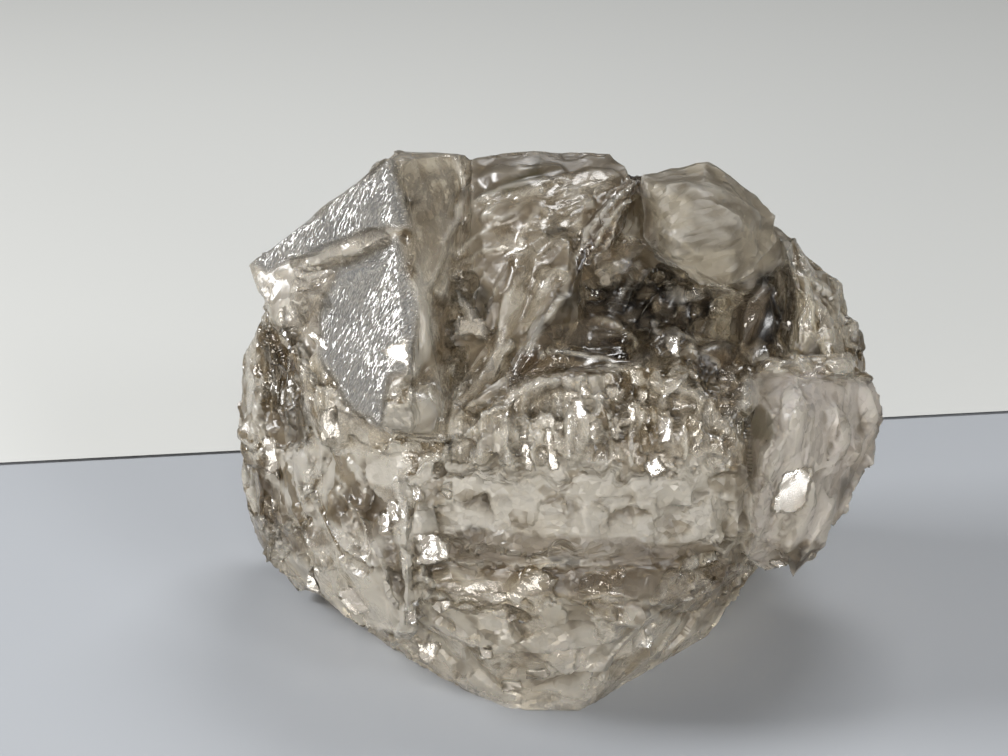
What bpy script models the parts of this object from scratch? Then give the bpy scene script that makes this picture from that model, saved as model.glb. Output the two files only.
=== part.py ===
"""An elestial quartz crystal: one natural solid of many quartz crystals grown together.

It stands on a small flat at its base, +Z up, and its broad etched side looks along -Y. Every length is in
millimetres, and MM turns it into Blender's metres. The origin is the middle of the solid's box, on the base.
"""

import math
import random

import bmesh
import bpy
from mathutils import Matrix, Vector
from mathutils.bvhtree import BVHTree

MM = 0.001

WIDTH = 121.0  # finished width, from the left flank to the right tip of the slab
GROWTH_AXIS = Vector((-0.16, 0.12, 0.98)).normalized()  # the long axis that the crystals share
PRISM_ROLL = math.radians(14.0)  # turn of the shared prism faces about that axis
CROWN = 92.0  # height of the highest edge
GROWTH_COUNT = 170  # tries at a crystal over the back, sides and crown
REACH = 60.0  # how far left and right that growth may stand
SEED = 7
FRONT_VIEW = Vector((0, -0.92, 0.39))  # towards whoever looks at the etched side; the growth behind stays hidden

# The large crystals, each the hull of its own corners. Left is -X and the front is -Y.
BLOCKS = {
    "base": [
        (-10, -39, 0), (3, -40, 0), (28, -12, 0), (33, 8, 0), (22, 28, 0), (-24, 28, 0),
        (-37, 8, 0), (-36, -10, 0), (-22, -28, 0), (-14, -42, 14), (9, -43, 16), (38, 0, 8),
        (33, -20, 20), (-43, -18, 12), (-48, 2, 6), (34, 32, 18), (-40, 32, 18),
    ],
    "core": [
        (-48, 2, 14), (-52, 6, 52), (-34, 8, 70), (-14, 8, 76), (10, 7, 74), (38, 8, 66), (46, 8, 50),
        (47, 6, 18), (0, -30, 36), (-24, -29, 46), (26, -26, 38), (-34, -27, 20), (26, -25, 16),
        (-44, -17, 42), (-46, -14, 22), (-36, -26, 38), (42, -13, 46), (42, -14, 22), (30, 30, 50),
        (-40, 30, 50), (0, 32, 66), (-36, 28, 14), (34, 28, 14),
    ],
    "belly": [
        (-22, -34, 45), (-4, -38, 46), (13, -38, 47), (31, -33, 42), (-40, -30, 25), (-23, -43, 26),
        (-4, -48, 27), (13, -46, 26), (29, -34, 24), (-3, -46, 15), (8, -44, 16), (-16, -42, 14),
        (38, 0, 8), (33, -20, 20), (-43, -18, 12), (-50, 0, 4), (-57, 6, 11), (-40, 30, 12), (36, 30, 14),
    ],
    "back": [
        (-50, 12, 60), (-36, 14, 76), (-8, 16, 84), (20, 16, 82), (42, 14, 64), (52, 12, 46),
        (52, 10, 28), (40, 8, 10), (-52, 12, 12), (-58, 12, 34), (-34, 34, 66), (4, 38, 70),
        (34, 34, 58), (-42, 34, 30), (0, 40, 36), (42, 34, 28), (-28, 32, 6), (26, 32, 6),
    ],
    "left_block": [
        (-57, 2, 69), (-31, -6, 92), (-25, -24, 72), (-27, -33, 63), (-32, -37, 54), (-52, -6, 57),
        (-45, -22, 54), (-29, 0, 92), (-19, 4, 90), (-17, 6, 89), (-17, 0, 80), (-22, -8, 74),
        (-23, -14, 69), (-22, -24, 54), (-56, 14, 65), (-31, 22, 84), (-19, 24, 81), (-23, 10, 35),
        (-50, 12, 44),
    ],
    "middle_block": [
        (-17, 4, 89), (-11, 6, 90), (1, 8, 89), (9, 8, 89), (12, 4, 88), (13, 0, 84),
        (-16, -6, 82), (-1, -5, 86), (7, -6, 84), (-4, -13, 80), (-8, -18, 72), (-11, -22, 62),
        (-18, -14, 63), (-20, -8, 68), (2, -14, 69), (-5, -21, 62), (-11, -25, 54), (-17, -22, 54),
        (-15, 26, 80), (12, 26, 79), (8, 14, 52), (-17, 10, 39),
    ],
    "upper_right_lump": [
        (14, 0, 88), (21, 0, 88), (23, 2, 89), (26, 2, 90), (29, 2, 88), (36, 2, 83),
        (39, 2, 79), (39, 0, 75), (36, -6, 73), (33, -9, 72), (29, -12, 70), (24, -13, 71),
        (17, -11, 75), (14, -8, 78), (24, -10, 86), (30, -12, 82), (20, -14, 81), (17, 24, 78),
        (29, 26, 80), (40, 24, 71), (34, 14, 65),
    ],
    "right_rim": [
        (40, 10, 73), (44, 10, 71), (48, 10, 64), (51, 8, 60), (54, 6, 56), (54, 2, 52),
        (51, -6, 54), (43, -8, 54), (41, -4, 52), (43, -2, 64), (41, 0, 72), (45, -8, 60),
        (44, 26, 63), (53, 24, 52), (55, 20, 43), (44, 14, 43),
    ],
    "right_slab": [
        (33, -15, 57), (38, -17, 58), (49, -12, 57), (52, -8, 56), (56, -10, 52), (59, -6, 47),
        (58, -10, 43), (54, -14, 40), (50, -18, 28), (46, -18, 19), (33, -20, 52), (35, -26, 49),
        (33, -30, 41), (32, -29, 33), (33, -25, 23), (37, -22, 19), (41, -30, 51), (43, -29, 37),
        (55, 12, 46), (60, 8, 40), (55, 6, 24), (46, 2, 12), (39, 4, 8),
    ],
    "left_flank": [
        (-54, 4, 62), (-55, 4, 54), (-59, 6, 50), (-61, 6, 34), (-61, 6, 26), (-60, 6, 19),
        (-57, 4, 11), (-50, 2, 2), (-47, -16, 50), (-41, -24, 40), (-40, -30, 29), (-42, -22, 15),
        (-52, -6, 58), (-55, -8, 39), (-54, -12, 24), (-58, 26, 40), (-58, 26, 17), (-52, 20, 4),
    ],
    "ledge": [
        (-22, -34, 49), (-15, -32, 57), (-8, -31, 61), (1, -32, 64), (13, -32, 64), (22, -33, 60),
        (31, -29, 56), (-20, -37, 43), (-6, -40, 43), (8, -41, 43), (23, -39, 43), (32, -32, 40),
        (-21, 10, 30), (0, 12, 38), (35, 10, 35),
    ],
    "lower_left": [
        (-47, -22, 39), (-39, -28, 40), (-29, -32, 50), (-22, -34, 49), (-29, -38, 37), (-38, -34, 27),
        (-25, -43, 24), (-27, -40, 15), (-37, -28, 11), (-46, -20, 14), (-41, -31, 34), (-30, -10, 20),
    ],
    "shoulder": [
        (-47, -20, 53), (-41, -26, 49), (-38, -29, 41), (-28, -33, 50), (-22, -35, 49), (-22, -29, 56),
        (-23, -31, 60), (-31, -34, 53), (-41, -27, 55), (-49, 0, 35), (-22, 0, 35), (-34, 0, 43),
    ],
    "saddle": [
        (-22, -25, 54), (-16, -23, 57), (-8, -18, 62), (2, -16, 60), (6, -24, 59), (-1, -30, 59),
        (-11, -32, 57), (-20, -35, 49), (-23, -31, 51), (-21, 0, 39), (7, 0, 43), (-8, 0, 51),
    ],
    "cavity_floor": [
        (-1, -26, 60), (13, -26, 60), (31, -22, 54), (41, -8, 52), (44, 2, 55), (26, 2, 57),
        (7, 2, 55), (-1, -10, 57), (0, 0, 37), (34, 0, 37), (43, 6, 39),
    ],
    "fin": [
        (11, -2, 88), (13.5, -2, 87), (0, -14, 71), (2.5, -13, 70), (12.5, -7, 89), (1, -19, 72),
        (5.5, -15, 81),
    ],
    "disc": [
        (-31, -36, 58), (-27, -37, 61), (-23, -36, 60), (-21, -35, 56), (-22, -35, 52), (-27, -37, 51),
        (-31, -36, 53), (-28, -30, 58), (-24, -30, 53),
    ],
}

# Single quartz points: root, tip and radius.
POINTS = {
    "smoky_prism": ((32, -10, 46), (37, -5, 71), 5.2),
    "hollow_point": ((18, -22, 54), (22, -14, 64), 3.2),
    "hollow_stub": ((26, -27, 50), (28, -19, 62), 4.4),
    "bead_point": ((8, -2, 66), (7, -8, 73), 2.2),
    "roof_point": ((27, 0, 62), (23, -8, 69), 3.0),
    "leaf_point": ((12, -3, 58), (18, -7, 70), 2.6),
    "star_point": ((-17, -12, 60), (-16, -21, 67), 3.2),
    "slab_corner": ((44, -23, 42), (42, -22, 17), 5.4),
    "slab_knob": ((49, -18, 36), (52, -17, 46), 3.6),
    "left_tip": ((-38, 5, 73), (-58, 2.5, 68.6), 1.8),
}

# Ridges on the front of the blocks, as (x, z) at start and end, radius, and how deep they sink in radii.
RIDGES = {
    "swirl_top": ((-15, 83), (-4, 88), 2.8, 0.1),
    "swirl_high": ((-16, 79), (-1, 86), 3.0, 0.0),
    "swirl_mid": ((-15, 73), (2, 83), 3.2, 0.0),
    "swirl_fold": ((-14, 68), (2, 80), 2.8, -0.2),
    "swirl_low": ((-13, 63), (1, 76), 3.4, 0.0),
    "swirl_root": ((-10, 59), (2, 71), 2.8, -0.1),
    "swirl_star": ((-17, 66), (-9, 76), 3.0, 0.0),
    "swirl_crest": ((-6, 80), (10, 88), 2.6, 0.2),
    "fold_left": ((-20, 52), (-9, 63), 2.0, 0.2),
    "fold_right": ((-14, 53), (0, 64), 1.8, 0.2),
    "lump_left": ((16, 76), (20, 89), 5.0, 0.6),
    "lump_middle": ((23, 73), (26, 88), 5.5, 0.7),
    "lump_right": ((31, 72), (33, 84), 5.0, 0.6),
    "lump_edge": ((36, 71), (37, 79), 3.6, 0.5),
    "lump_brow": ((18, 84), (33, 86), 3.2, 0.6),
    "rim_inner": ((42, 54), (43, 72), 2.2, 0.4),
    "rim_middle": ((46, 54), (46, 69), 2.0, 0.3),
    "rim_outer": ((50, 53), (50, 64), 1.8, 0.3),
    "slab_inner": ((36, 26), (38, 55), 3.4, 0.6),
    "slab_middle": ((44, 36), (46, 56), 3.2, 0.6),
    "slab_outer": ((51, 30), (53, 50), 3.4, 0.6),
    "crest_upper": ((-42, 40), (-32, 30), 2.2, 0.3),
    "crest_lower": ((-32, 31), (-28, 14), 2.2, 0.3),
    "crest_side": ((-39, 40), (-47, 14), 2.6, 0.4),
    "crest_inner": ((-28, 44), (-29, 12), 2.6, 0.4),
    "block_brow": ((-25, 66), (-22, 88), 2.8, 0.7),
}


def solid_of(name, mesh):
    """A scene object with the given bmesh as its closed, outward-facing mesh."""
    bmesh.ops.triangulate(mesh, faces=mesh.faces)
    bmesh.ops.recalc_face_normals(mesh, faces=mesh.faces)
    data = bpy.data.meshes.new(name)
    mesh.to_mesh(data)
    mesh.free()
    obj = bpy.data.objects.new(name, data)
    bpy.context.scene.collection.objects.link(obj)
    return obj


def hull(name, corners):
    """A closed convex solid through the given corners, in millimetres."""
    mesh = bmesh.new()
    for corner in corners:
        mesh.verts.new(Vector(corner) * MM)
    made = bmesh.ops.convex_hull(mesh, input=mesh.verts)
    unused = set(made["geom_interior"]) | set(made["geom_unused"])
    bmesh.ops.delete(mesh, geom=[v for v in unused if isinstance(v, bmesh.types.BMVert)], context="VERTS")
    return solid_of(name, mesh)


def quartz(name, root, tip, radius, roll=PRISM_ROLL, point=1.5, flat=0.8):
    """A six-sided prism along root-tip with pyramids `point` radii long at both ends; `flat` narrows one way."""
    root, tip = Vector(root), Vector(tip)
    along = (tip - root).normalized()
    side = along.cross(Vector((0, 1, 0))).normalized()
    front = along.cross(side)
    slope = along * min(radius * point, 0.4 * (tip - root).length)
    corners = [root, tip]
    for end in (root + slope, tip - slope):
        for k in range(6):
            turn = roll + k * math.pi / 3
            corners.append(end + radius * (side * math.cos(turn) + front * flat * math.sin(turn)))
    return hull(name, corners)


def chip(name, centre, size, rng, lean=0.35):
    """A small block with its corners knocked about, as where a crystal has broken or been etched away."""
    corners = []
    for sx in (-0.5, 0.5):
        for sy in (-0.5, 0.5):
            for sz in (-0.5, 0.5):
                share = Vector((sx, sy, sz)) * (1 - lean * rng.random())
                corners.append(Vector(centre) + Vector(s * w for s, w in zip(share, size, strict=True)))
    return hull(name, corners)


def between(row, share):
    """The point at that share of the way along a row's two ends."""
    return Vector(row[0]).lerp(Vector(row[1]), share)


def on_front(surface, spot, sink):
    """The point of the front that shows at that (x, z), sunk by so many millimetres."""
    met = surface.hit((spot[0], -90, spot[1]), (0, 1, 0))
    return None if met is None else met[0] - met[1] * sink


def ridge(name, surface, start, end, radius, sink, **form):
    """A crystal that lies along the front of a block from one (x, z) to another."""
    ends = [on_front(surface, spot, radius * sink) for spot in (start, end)]
    return [] if None in ends else [quartz(name, *ends, radius, **form)]


def rods(name, surface, roots, tips, radii, count, rng):
    """Side-by-side rods that stand half out of the front, as on a deeply grooved prism face."""
    made = []
    for i in range(count):
        ends = []
        for row in (roots, tips):
            spot = Vector(row[0]).lerp(Vector(row[1]), (i + 0.5) / count)
            ends.append(spot + Vector((rng.uniform(-0.5, 0.5), rng.uniform(-2.2, 2.2))))
        roll, sink = rng.uniform(0, 1), rng.uniform(-0.2, 0.25)
        made += ridge(f"{name}_{i}", surface, *ends, rng.uniform(*radii), sink, roll=roll, point=1.0)
    return made


def steps(name, first, last, size, count, turn, rng):
    """A flight of thin plates from first to last, each turned about the vertical."""
    made = []
    for i in range(count):
        plate = chip(f"{name}_{i}", (0, 0, 0), size, rng, lean=0.25)
        place = Matrix.Translation(between((first, last), i / (count - 1)) * MM)
        plate.data.transform(place @ Matrix.Rotation(turn + rng.uniform(-0.12, 0.12), 4, "Z"))
        made.append(plate)
    return made


def boolean(target, others, operation):
    """Applies one Boolean of the target with a group of solids, then removes the group."""
    group = bpy.data.collections.new(operation.lower())
    for obj in others:
        group.objects.link(obj)
    modifier = target.modifiers.new(operation, "BOOLEAN")
    modifier.operation = operation
    modifier.solver = "EXACT"
    modifier.operand_type = "COLLECTION"
    modifier.collection = group
    graph = bpy.context.evaluated_depsgraph_get()
    target.data = bpy.data.meshes.new_from_object(target.evaluated_get(graph))
    target.modifiers.clear()
    for obj in others:
        bpy.data.objects.remove(obj)
    bpy.data.collections.remove(group)


def fill_hollows(obj):
    """Drops every shell but the largest, so the gaps sealed in between crystals become solid."""
    mesh = bmesh.new()
    mesh.from_mesh(obj.data)
    shells, left = [], set(mesh.verts)
    while left:
        shell, edge = set(), [left.pop()]
        while edge:
            vert = edge.pop()
            shell.add(vert)
            near = {e.other_vert(vert) for e in vert.link_edges} & left
            left -= near
            edge.extend(near)
        shells.append(shell)
    shells.sort(key=len)
    for shell in shells[:-1]:
        bmesh.ops.delete(mesh, geom=list(shell), context="VERTS")
    mesh.to_mesh(obj.data)
    mesh.free()


class Surface:
    """The outer skin of a finished solid, which says where a ray from outside meets it."""

    def __init__(self, obj):
        mesh = bmesh.new()
        mesh.from_mesh(obj.data)
        self.tree = BVHTree.FromBMesh(mesh)
        mesh.free()

    def hit(self, start, direction):
        """The point and normal where the ray lands, in millimetres, or None."""
        place, normal, _, _ = self.tree.ray_cast(Vector(start) * MM, Vector(direction))
        return None if place is None else (place / MM, normal)


def terraces(surface, rng):
    """Broken ledges across the belly: rows of short crystals and chips that follow its front."""
    made = []
    # height, leftmost x, rightmost x, how many, and how far the row stands out
    rows = (
        (43, -21, 31, 11, 1.6), (38.5, -25, 32, 11, 2.0), (33.5, -27, 32, 11, 2.3),
        (28, -24, 31, 9, 1.6), (21, -22, 29, 8, 1.5), (14.5, -15, 20, 5, 1.2),
    )
    for row, (height, first, last, count, proud) in enumerate(rows):
        for i in range(count):
            x = first + (last - first) * (i + rng.random()) / count
            size = Vector((rng.uniform(4, 8), 8.0, rng.uniform(3.0, 6.5)))
            sink = size.y / 2 - proud * rng.uniform(0.3, 1.0)
            place = on_front(surface, (x, height + rng.uniform(-2.2, 2.2)), sink)
            if place and i % 2:
                rise = GROWTH_AXIS * size.z
                made.append(quartz(f"terrace_{row}_{i}", place - rise, place + rise, size.y / 2, point=0.6))
            elif place:
                made.append(chip(f"terrace_{row}_{i}", place, size, rng, lean=0.6))
    return made


def parallel_growth(surface, rng):
    """Crystals over the back, the sides and the crown, which all point along the growth axis."""
    made = []
    golden = math.pi * (3 - math.sqrt(5))
    for i in range(GROWTH_COUNT):
        height = min(0.97, -0.62 + 1.6 * (i + 0.5) / GROWTH_COUNT)
        turn = i * golden + rng.uniform(-0.2, 0.2)
        level = math.sqrt(1 - height * height)
        outward = Vector((math.cos(turn) * level, math.sin(turn) * level, height))
        radius = rng.uniform(7.0, 14.0) if i % 3 else rng.uniform(3.5, 5.5)
        proud = radius * rng.uniform(0.15, 0.5)
        length = radius * rng.uniform(2.2, 3.4)
        met = surface.hit(Vector((0, 4, 44)) + outward * 150, -outward) if outward.y > -0.5 else None
        if met is None:
            continue
        tip = met[0] + met[1] * (proud - 0.8 * radius) + GROWTH_AXIS * radius * rng.uniform(0.4, 1.2)
        tip.z = min(tip.z, CROWN - 0.5)
        root = tip - GROWTH_AXIS * length
        flank = tip + met[1] * proud - GROWTH_AXIS * length / 2
        hidden = all(surface.hit(spot, FRONT_VIEW) for spot in (tip, root, flank))
        if hidden and root.z > 1 and max(abs(tip.x), abs(root.x), abs(flank.x)) + 0.7 * radius < REACH:
            made.append(quartz(f"growth_{i}", root, tip, radius, flat=rng.uniform(0.75, 0.95), point=1.2))
    return made


def edge_crystals(surface, rng):
    """Small crystals along the slab's ragged right edge, over the upper lump and down the right rim."""
    rows = (
        (((80, -6, 54), (80, -6, 24)), (-1, 0, 0), 9, (1.8, 3.0)),
        (((22, -8, 98), (50, -4, 76)), (-0.35, 0.15, -0.92), 6, (2.4, 4.0)),
        (((62, 6, 76), (66, 6, 52)), (-0.9, 0, -0.4), 5, (2.2, 3.4)),
    )
    made = []
    for row, (line, direction, count, radii) in enumerate(rows):
        for i in range(count):
            met = surface.hit(between(line, (i + rng.random()) / count), direction)
            if met:
                radius = rng.uniform(*radii)
                tip = met[0] + GROWTH_AXIS * radius * 0.8 - met[1] * radius * 0.7
                made.append(quartz(f"edge_{row}_{i}", tip - GROWTH_AXIS * radius * 3.2, tip, radius))
    return made


def windows():
    """Cutters for the skeletal hollows in the left block's bright face."""
    outward = Vector((-0.528, -0.578, 0.622))
    outlines = {
        "window_band": [
            (-50, -1, 70), (-42, -4, 74), (-32, -10, 80), (-28, -16, 81), (-29, -19, 78), (-38, -12, 73),
            (-47, -6, 69),
        ],
        "window_deep": [
            (-50, -5, 66), (-41, -11, 70), (-39, -16, 68), (-43, -19, 60), (-46, -19, 56), (-50, -9, 60),
        ],
        "window_notch": [(-30, -32, 66), (-26, -35, 67), (-25, -36, 62), (-29, -36, 61)],
    }
    depths = {"window_band": 2.0, "window_deep": 3.0, "window_notch": 2.0}
    made = []
    for name, outline in outlines.items():
        middle = sum((Vector(p) for p in outline), Vector()) / len(outline)
        rim = [Vector(p) + outward * 4 for p in outline]
        floor = [middle.lerp(Vector(p), 0.62) - outward * depths[name] for p in outline]
        made.append(hull(name, rim + floor))
    return made


def cutters(rng):
    """All that is taken away: the face's windows, the cleft by the middle block and what is under the base."""
    made = windows()
    made.append(hull("brown_hollow", [
        (3, -20, 72), (13, -12, 84), (15, -14, 70), (6, -20, 66),
        (4, 3, 72), (13, 2, 82), (14, 2, 70), (7, 2, 68),
    ]))
    made.append(hull("tip_undercut", [
        (-66, -8, 66), (-66, 12, 66), (-54, -8, 64.5), (-54, 12, 64.5), (-66, -8, 54), (-66, 12, 54), (-57, 0, 57),
    ]))
    made.append(hull("block_cleft", [
        (-18.5, -20, 96), (-16, -20, 96), (-17.3, -20, 62), (-18, 12, 96), (-16.6, 12, 96), (-17.2, 4, 70),
    ]))
    made.append(chip("under_base", (0, 0, -10), (200, 200, 20), rng, lean=0.0))
    return made


def finish(crystal):
    """Trues the width, puts the origin under the middle of the box and gives the crystal its material."""
    lows, highs = [[f(v.co[i] for v in crystal.data.vertices) for i in range(3)] for f in (min, max)]
    middle = Vector(((lows[0] + highs[0]) / 2, (lows[1] + highs[1]) / 2, lows[2]))
    scale = WIDTH * MM / (highs[0] - lows[0])
    crystal.data.transform(Matrix.Scale(scale, 4) @ Matrix.Translation(-middle))
    crystal.name = "elestial_quartz"
    material = bpy.data.materials.new("smoky_quartz")
    material.use_nodes = True
    shader = material.node_tree.nodes["Principled BSDF"]
    shader.inputs["Base Color"].default_value = (0.62, 0.58, 0.51, 1.0)
    shader.inputs["Roughness"].default_value = 0.25
    shader.inputs["Metallic"].default_value = 0.0
    crystal.data.materials.clear()
    crystal.data.materials.append(material)


def main():
    for obj in list(bpy.data.objects):
        bpy.data.objects.remove(obj)
    rng = random.Random(SEED)
    blocks = [hull(name, corners) for name, corners in BLOCKS.items()]
    crystal = blocks[0]
    boolean(crystal, blocks[1:], "UNION")

    surface = Surface(crystal)
    small = [quartz(name, root, tip, radius) for name, (root, tip, radius) in POINTS.items()]
    for name, (start, end, radius, sink) in RIDGES.items():
        small += ridge(name, surface, start, end, radius, sink)
    small += rods("curtain", surface, ((-18, 43), (32, 44)), ((-15, 56), (31, 56)), (1.2, 2.2), 19, rng)
    small += rods("flute", surface, ((-58, 20), (-43, 33)), ((-56, 47), (-46, 51)), (1.2, 2.0), 9, rng)
    small += steps("layer", (2, -25, 60), (8, -4, 67), (19, 9, 2.0), 6, 0.1, rng)
    small += steps("dark_layer", (14, -12, 60), (24, 2, 69), (14, 8, 1.8), 4, 0.5, rng)
    small += terraces(surface, rng)
    small += parallel_growth(surface, rng)
    small += edge_crystals(surface, rng)
    boolean(crystal, small, "UNION")
    fill_hollows(crystal)
    boolean(crystal, cutters(rng), "DIFFERENCE")
    finish(crystal)


main()
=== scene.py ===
import math

import bmesh
import bpy
import numpy as np
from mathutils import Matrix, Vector
from mathutils.bvhtree import BVHTree


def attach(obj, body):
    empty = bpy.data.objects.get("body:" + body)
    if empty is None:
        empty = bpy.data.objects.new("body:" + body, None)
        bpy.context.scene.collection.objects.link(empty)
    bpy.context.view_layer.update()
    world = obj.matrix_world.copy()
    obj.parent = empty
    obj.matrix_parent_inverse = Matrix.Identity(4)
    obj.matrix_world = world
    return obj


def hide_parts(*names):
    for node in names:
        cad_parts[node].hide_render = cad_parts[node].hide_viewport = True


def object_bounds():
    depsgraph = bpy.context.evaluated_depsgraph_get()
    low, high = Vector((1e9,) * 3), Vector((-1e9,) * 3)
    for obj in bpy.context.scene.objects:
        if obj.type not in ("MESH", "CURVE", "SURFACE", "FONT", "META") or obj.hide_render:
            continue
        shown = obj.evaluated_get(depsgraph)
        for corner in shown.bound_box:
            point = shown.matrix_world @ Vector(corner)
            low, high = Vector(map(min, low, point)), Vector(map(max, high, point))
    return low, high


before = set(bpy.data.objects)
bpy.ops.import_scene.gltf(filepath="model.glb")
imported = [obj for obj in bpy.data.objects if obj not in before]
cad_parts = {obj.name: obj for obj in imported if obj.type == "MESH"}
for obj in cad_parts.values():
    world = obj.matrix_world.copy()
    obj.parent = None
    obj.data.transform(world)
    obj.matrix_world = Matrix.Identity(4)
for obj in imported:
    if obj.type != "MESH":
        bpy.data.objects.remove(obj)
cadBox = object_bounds()
print("frame loaded")

mm = 0.001
leftEdge, frontEdge = -61.0, -48.0  # where the outlines below put the box's left and front, in mm
designMiddle = np.array([leftEdge * mm - cadBox[0][0], frontEdge * mm - cadBox[0][1], 0.0]) / mm

viewer = {
    "middle": (-10.5, 0.0, 47.6),  # what the viewer looks at, mm
    "down": math.radians(23.0),  # how far the gaze dips below the level
    "distance": 481.0,  # mm
    "focal": 2600.0 / 1008.0,  # focal length in widths of the view
    "centre": (504, 378),  # where the outlines' own units put that middle, down being more
    "unit": 0.185,  # mm in one of those units
    "sensor": 36.0,  # mm
}
cosDown, sinDown = math.cos(viewer["down"]), math.sin(viewer["down"])
lookedAt = np.array(viewer["middle"])
gaze = np.array([0, cosDown, -sinDown])
eye = lookedAt - gaze * viewer["distance"]


def scatter(cell, salt):
    # a repeatable random number in 0..1 for each whole-numbered cell (n x 3)
    c = cell.astype(np.int64)
    h = (c[:, 0] * 73856093) ^ (c[:, 1] * 19349663) ^ (c[:, 2] * 83492791) ^ (salt * 2654435761)
    h = (h ^ (h >> 13)) * 1274126177
    h = (h ^ (h >> 16)) & 0xFFFFFF
    return h / float(0xFFFFFF)


def chances(cell, salt, count=3):
    # that many random numbers for each cell, one row a number
    return np.stack([scatter(cell, salt + k) for k in range(count)])


def soft(p, salt=0):
    # value noise: the eight corner numbers of each cell, mixed by 3t^2 - 2t^3 along each axis; 0..1
    base = np.floor(p)
    t = p - base
    t = t * t * (3 - 2 * t)
    total = np.zeros(len(p))
    for dx, dy, dz in np.ndindex(2, 2, 2):
        w = np.abs(1 - dx - t[:, 0]) * np.abs(1 - dy - t[:, 1]) * np.abs(1 - dz - t[:, 2])
        total += w * scatter(base + (dx, dy, dz), salt)
    return total


def octavesOf(p, octaves, salt, gain, shift, profile):
    # sum of profile(noise), each twice as fine and `gain` as strong as the last, over the strengths' sum
    total, reach, strength = 0.0, 0.0, 1.0
    for k in range(octaves):
        total = total + strength * profile(soft(p * 2.0**k + shift * k, salt + k))
        reach += strength
        strength *= gain
    return total / reach


def cloudy(p, octaves, salt):
    # plain noise of several sizes; 0..1
    return octavesOf(p, octaves, salt, 0.5, 17.3, lambda x: x)


def creased(p, octaves, salt):
    # 1 - |2 noise - 1| of several sizes: sharp crests between round hollows; 0..1
    return octavesOf(p, octaves, salt, 0.55, 9.1, lambda x: 1 - np.abs(2 * x - 1))


def wander(p, scale, salt):
    # noise between -1 and 1 whose blobs are about `scale` mm across
    return 2 * cloudy(p / scale, 3, salt) - 1


def cells(p, spacing, salt):
    # nearest of one jittered point a grid cell: the way from it to each place, and its cell's numbers
    g = p / spacing
    base = np.floor(g)
    nearest, way, home = np.full(len(p), 1e9), np.zeros_like(g), np.zeros_like(g)
    for step in np.ndindex(3, 3, 3):
        cell = base + np.array(step) - 1
        centre = cell + chances(cell, salt).T
        away = ((g - centre) ** 2).sum(axis=1)
        closer = away < nearest
        nearest[closer] = away[closer]
        way[closer] = (g - centre)[closer]
        home[closer] = cell[closer]
    return way * spacing, chances(home, salt + 3).T


def rise(x, low, high):
    # 0 at low, 1 at high, 3t^2 - 2t^3 between; it falls where low is the greater
    t = np.clip((x - low) / (high - low), 0, 1)
    return t * t * (3 - 2 * t)


def between(pair, share):
    # first + (second - first) share
    return pair[0] + (pair[1] - pair[0]) * share


growth = {
    "axis": (-0.16, 0.12, 0.98),  # the axis that all the small crystals share
    "roll": math.radians(14.0),
    "capAngle": math.radians(51.8),  # how steeply the tip faces lean against the prism faces
    "capReach": 1.15,  # how far the tip faces stand from the middle, in prism radii
}


def axisFrame():
    # the axis a, a side square to it and the level y axis, and a x side
    a = np.array(growth["axis"])
    a = a / np.linalg.norm(a)
    side = np.cross(a, (0, 1, 0))
    side = side / np.linalg.norm(side)
    return a, side, np.cross(a, side)


def crystalShape():
    # doubly pointed prism of inner radius 1: tips at +-tip a, shoulders at edge_k / cos 30 +- shoulder a
    a, side, front = axisFrame()
    tilt, reach = growth["capAngle"], growth["capReach"]
    shoulder = (reach - math.sin(tilt)) / math.cos(tilt)
    turns = growth["roll"] + (np.arange(6) + 0.5) * math.pi / 3
    ring = (side * np.cos(turns)[:, None] + front * np.sin(turns)[:, None]) / math.cos(math.pi / 6)
    tip = a * reach / math.cos(tilt)
    points = np.vstack([[tip], [-tip], ring + shoulder * a, ring - shoulder * a])
    ends = np.array([1, -1] + [1] * 6 + [-1] * 6)
    faces = []
    for k in range(6):
        m = (k + 1) % 6
        faces += [(0, 2 + k, 2 + m), (1, 8 + m, 8 + k), (8 + k, 8 + m, 2 + m), (8 + k, 2 + m, 2 + k)]
    return points, ends, np.array(faces)


def stretched(radii, stretch):
    # every crystal's corners about its centre: r (shape + end * stretch * a)
    shape, ends, _ = crystalShape()
    one = shape[None] + (ends[None, :] * stretch[:, None])[:, :, None] * axisFrame()[0]
    return radii[:, None, None] * one


def crowd(centres, radii, stretch):
    # one mesh's points and triangles for many crystals: centre + corners
    points = centres[:, None, :] + stretched(radii, stretch)
    shape, _, faces = crystalShape()
    triangles = faces[None] + (np.arange(len(centres)) * len(shape))[:, None, None]
    return points.reshape(-1, 3), triangles.reshape(-1, 3)


def placed(outline):
    # outline units to mm at the viewer's middle: across (x - centre) unit, up (centre - y) unit
    (midX, midY), unit = viewer["centre"], viewer["unit"]
    return [((x - midX) * unit, (midY - y) * unit) for x, y in outline]


def seenAt(p):
    # across and up, in mm at the middle's distance, of where each point shows from the viewer's place:
    # its offset square to the gaze, times distance / depth
    d = p - lookedAt
    depth = viewer["distance"] + d[:, 1] * cosDown - d[:, 2] * sinDown
    k = viewer["distance"] / depth
    return d[:, 0] * k, (d[:, 1] * sinDown + d[:, 2] * cosDown) * k


def within(u, v, outline):
    # signed distance to the nearest side of a closed outline, above 0 inside it
    outline = np.array(outline, dtype=float)
    nearest = np.full(len(u), 1e9)
    crossed = np.zeros(len(u), dtype=bool)
    for (ax, ay), (bx, by) in zip(outline, np.roll(outline, -1, axis=0)):
        ex, ey = bx - ax, by - ay
        t = np.clip(((u - ax) * ex + (v - ay) * ey) / (ex * ex + ey * ey), 0, 1)
        nearest = np.minimum(nearest, np.hypot(u - ax - t * ex, v - ay - t * ey))
        flips = ((ay > v) != (by > v)) & (u < ax + (v - ay) * ex / (ey if ey else 1e-9))
        crossed ^= flips
    return np.where(crossed, nearest, -nearest)


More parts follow.
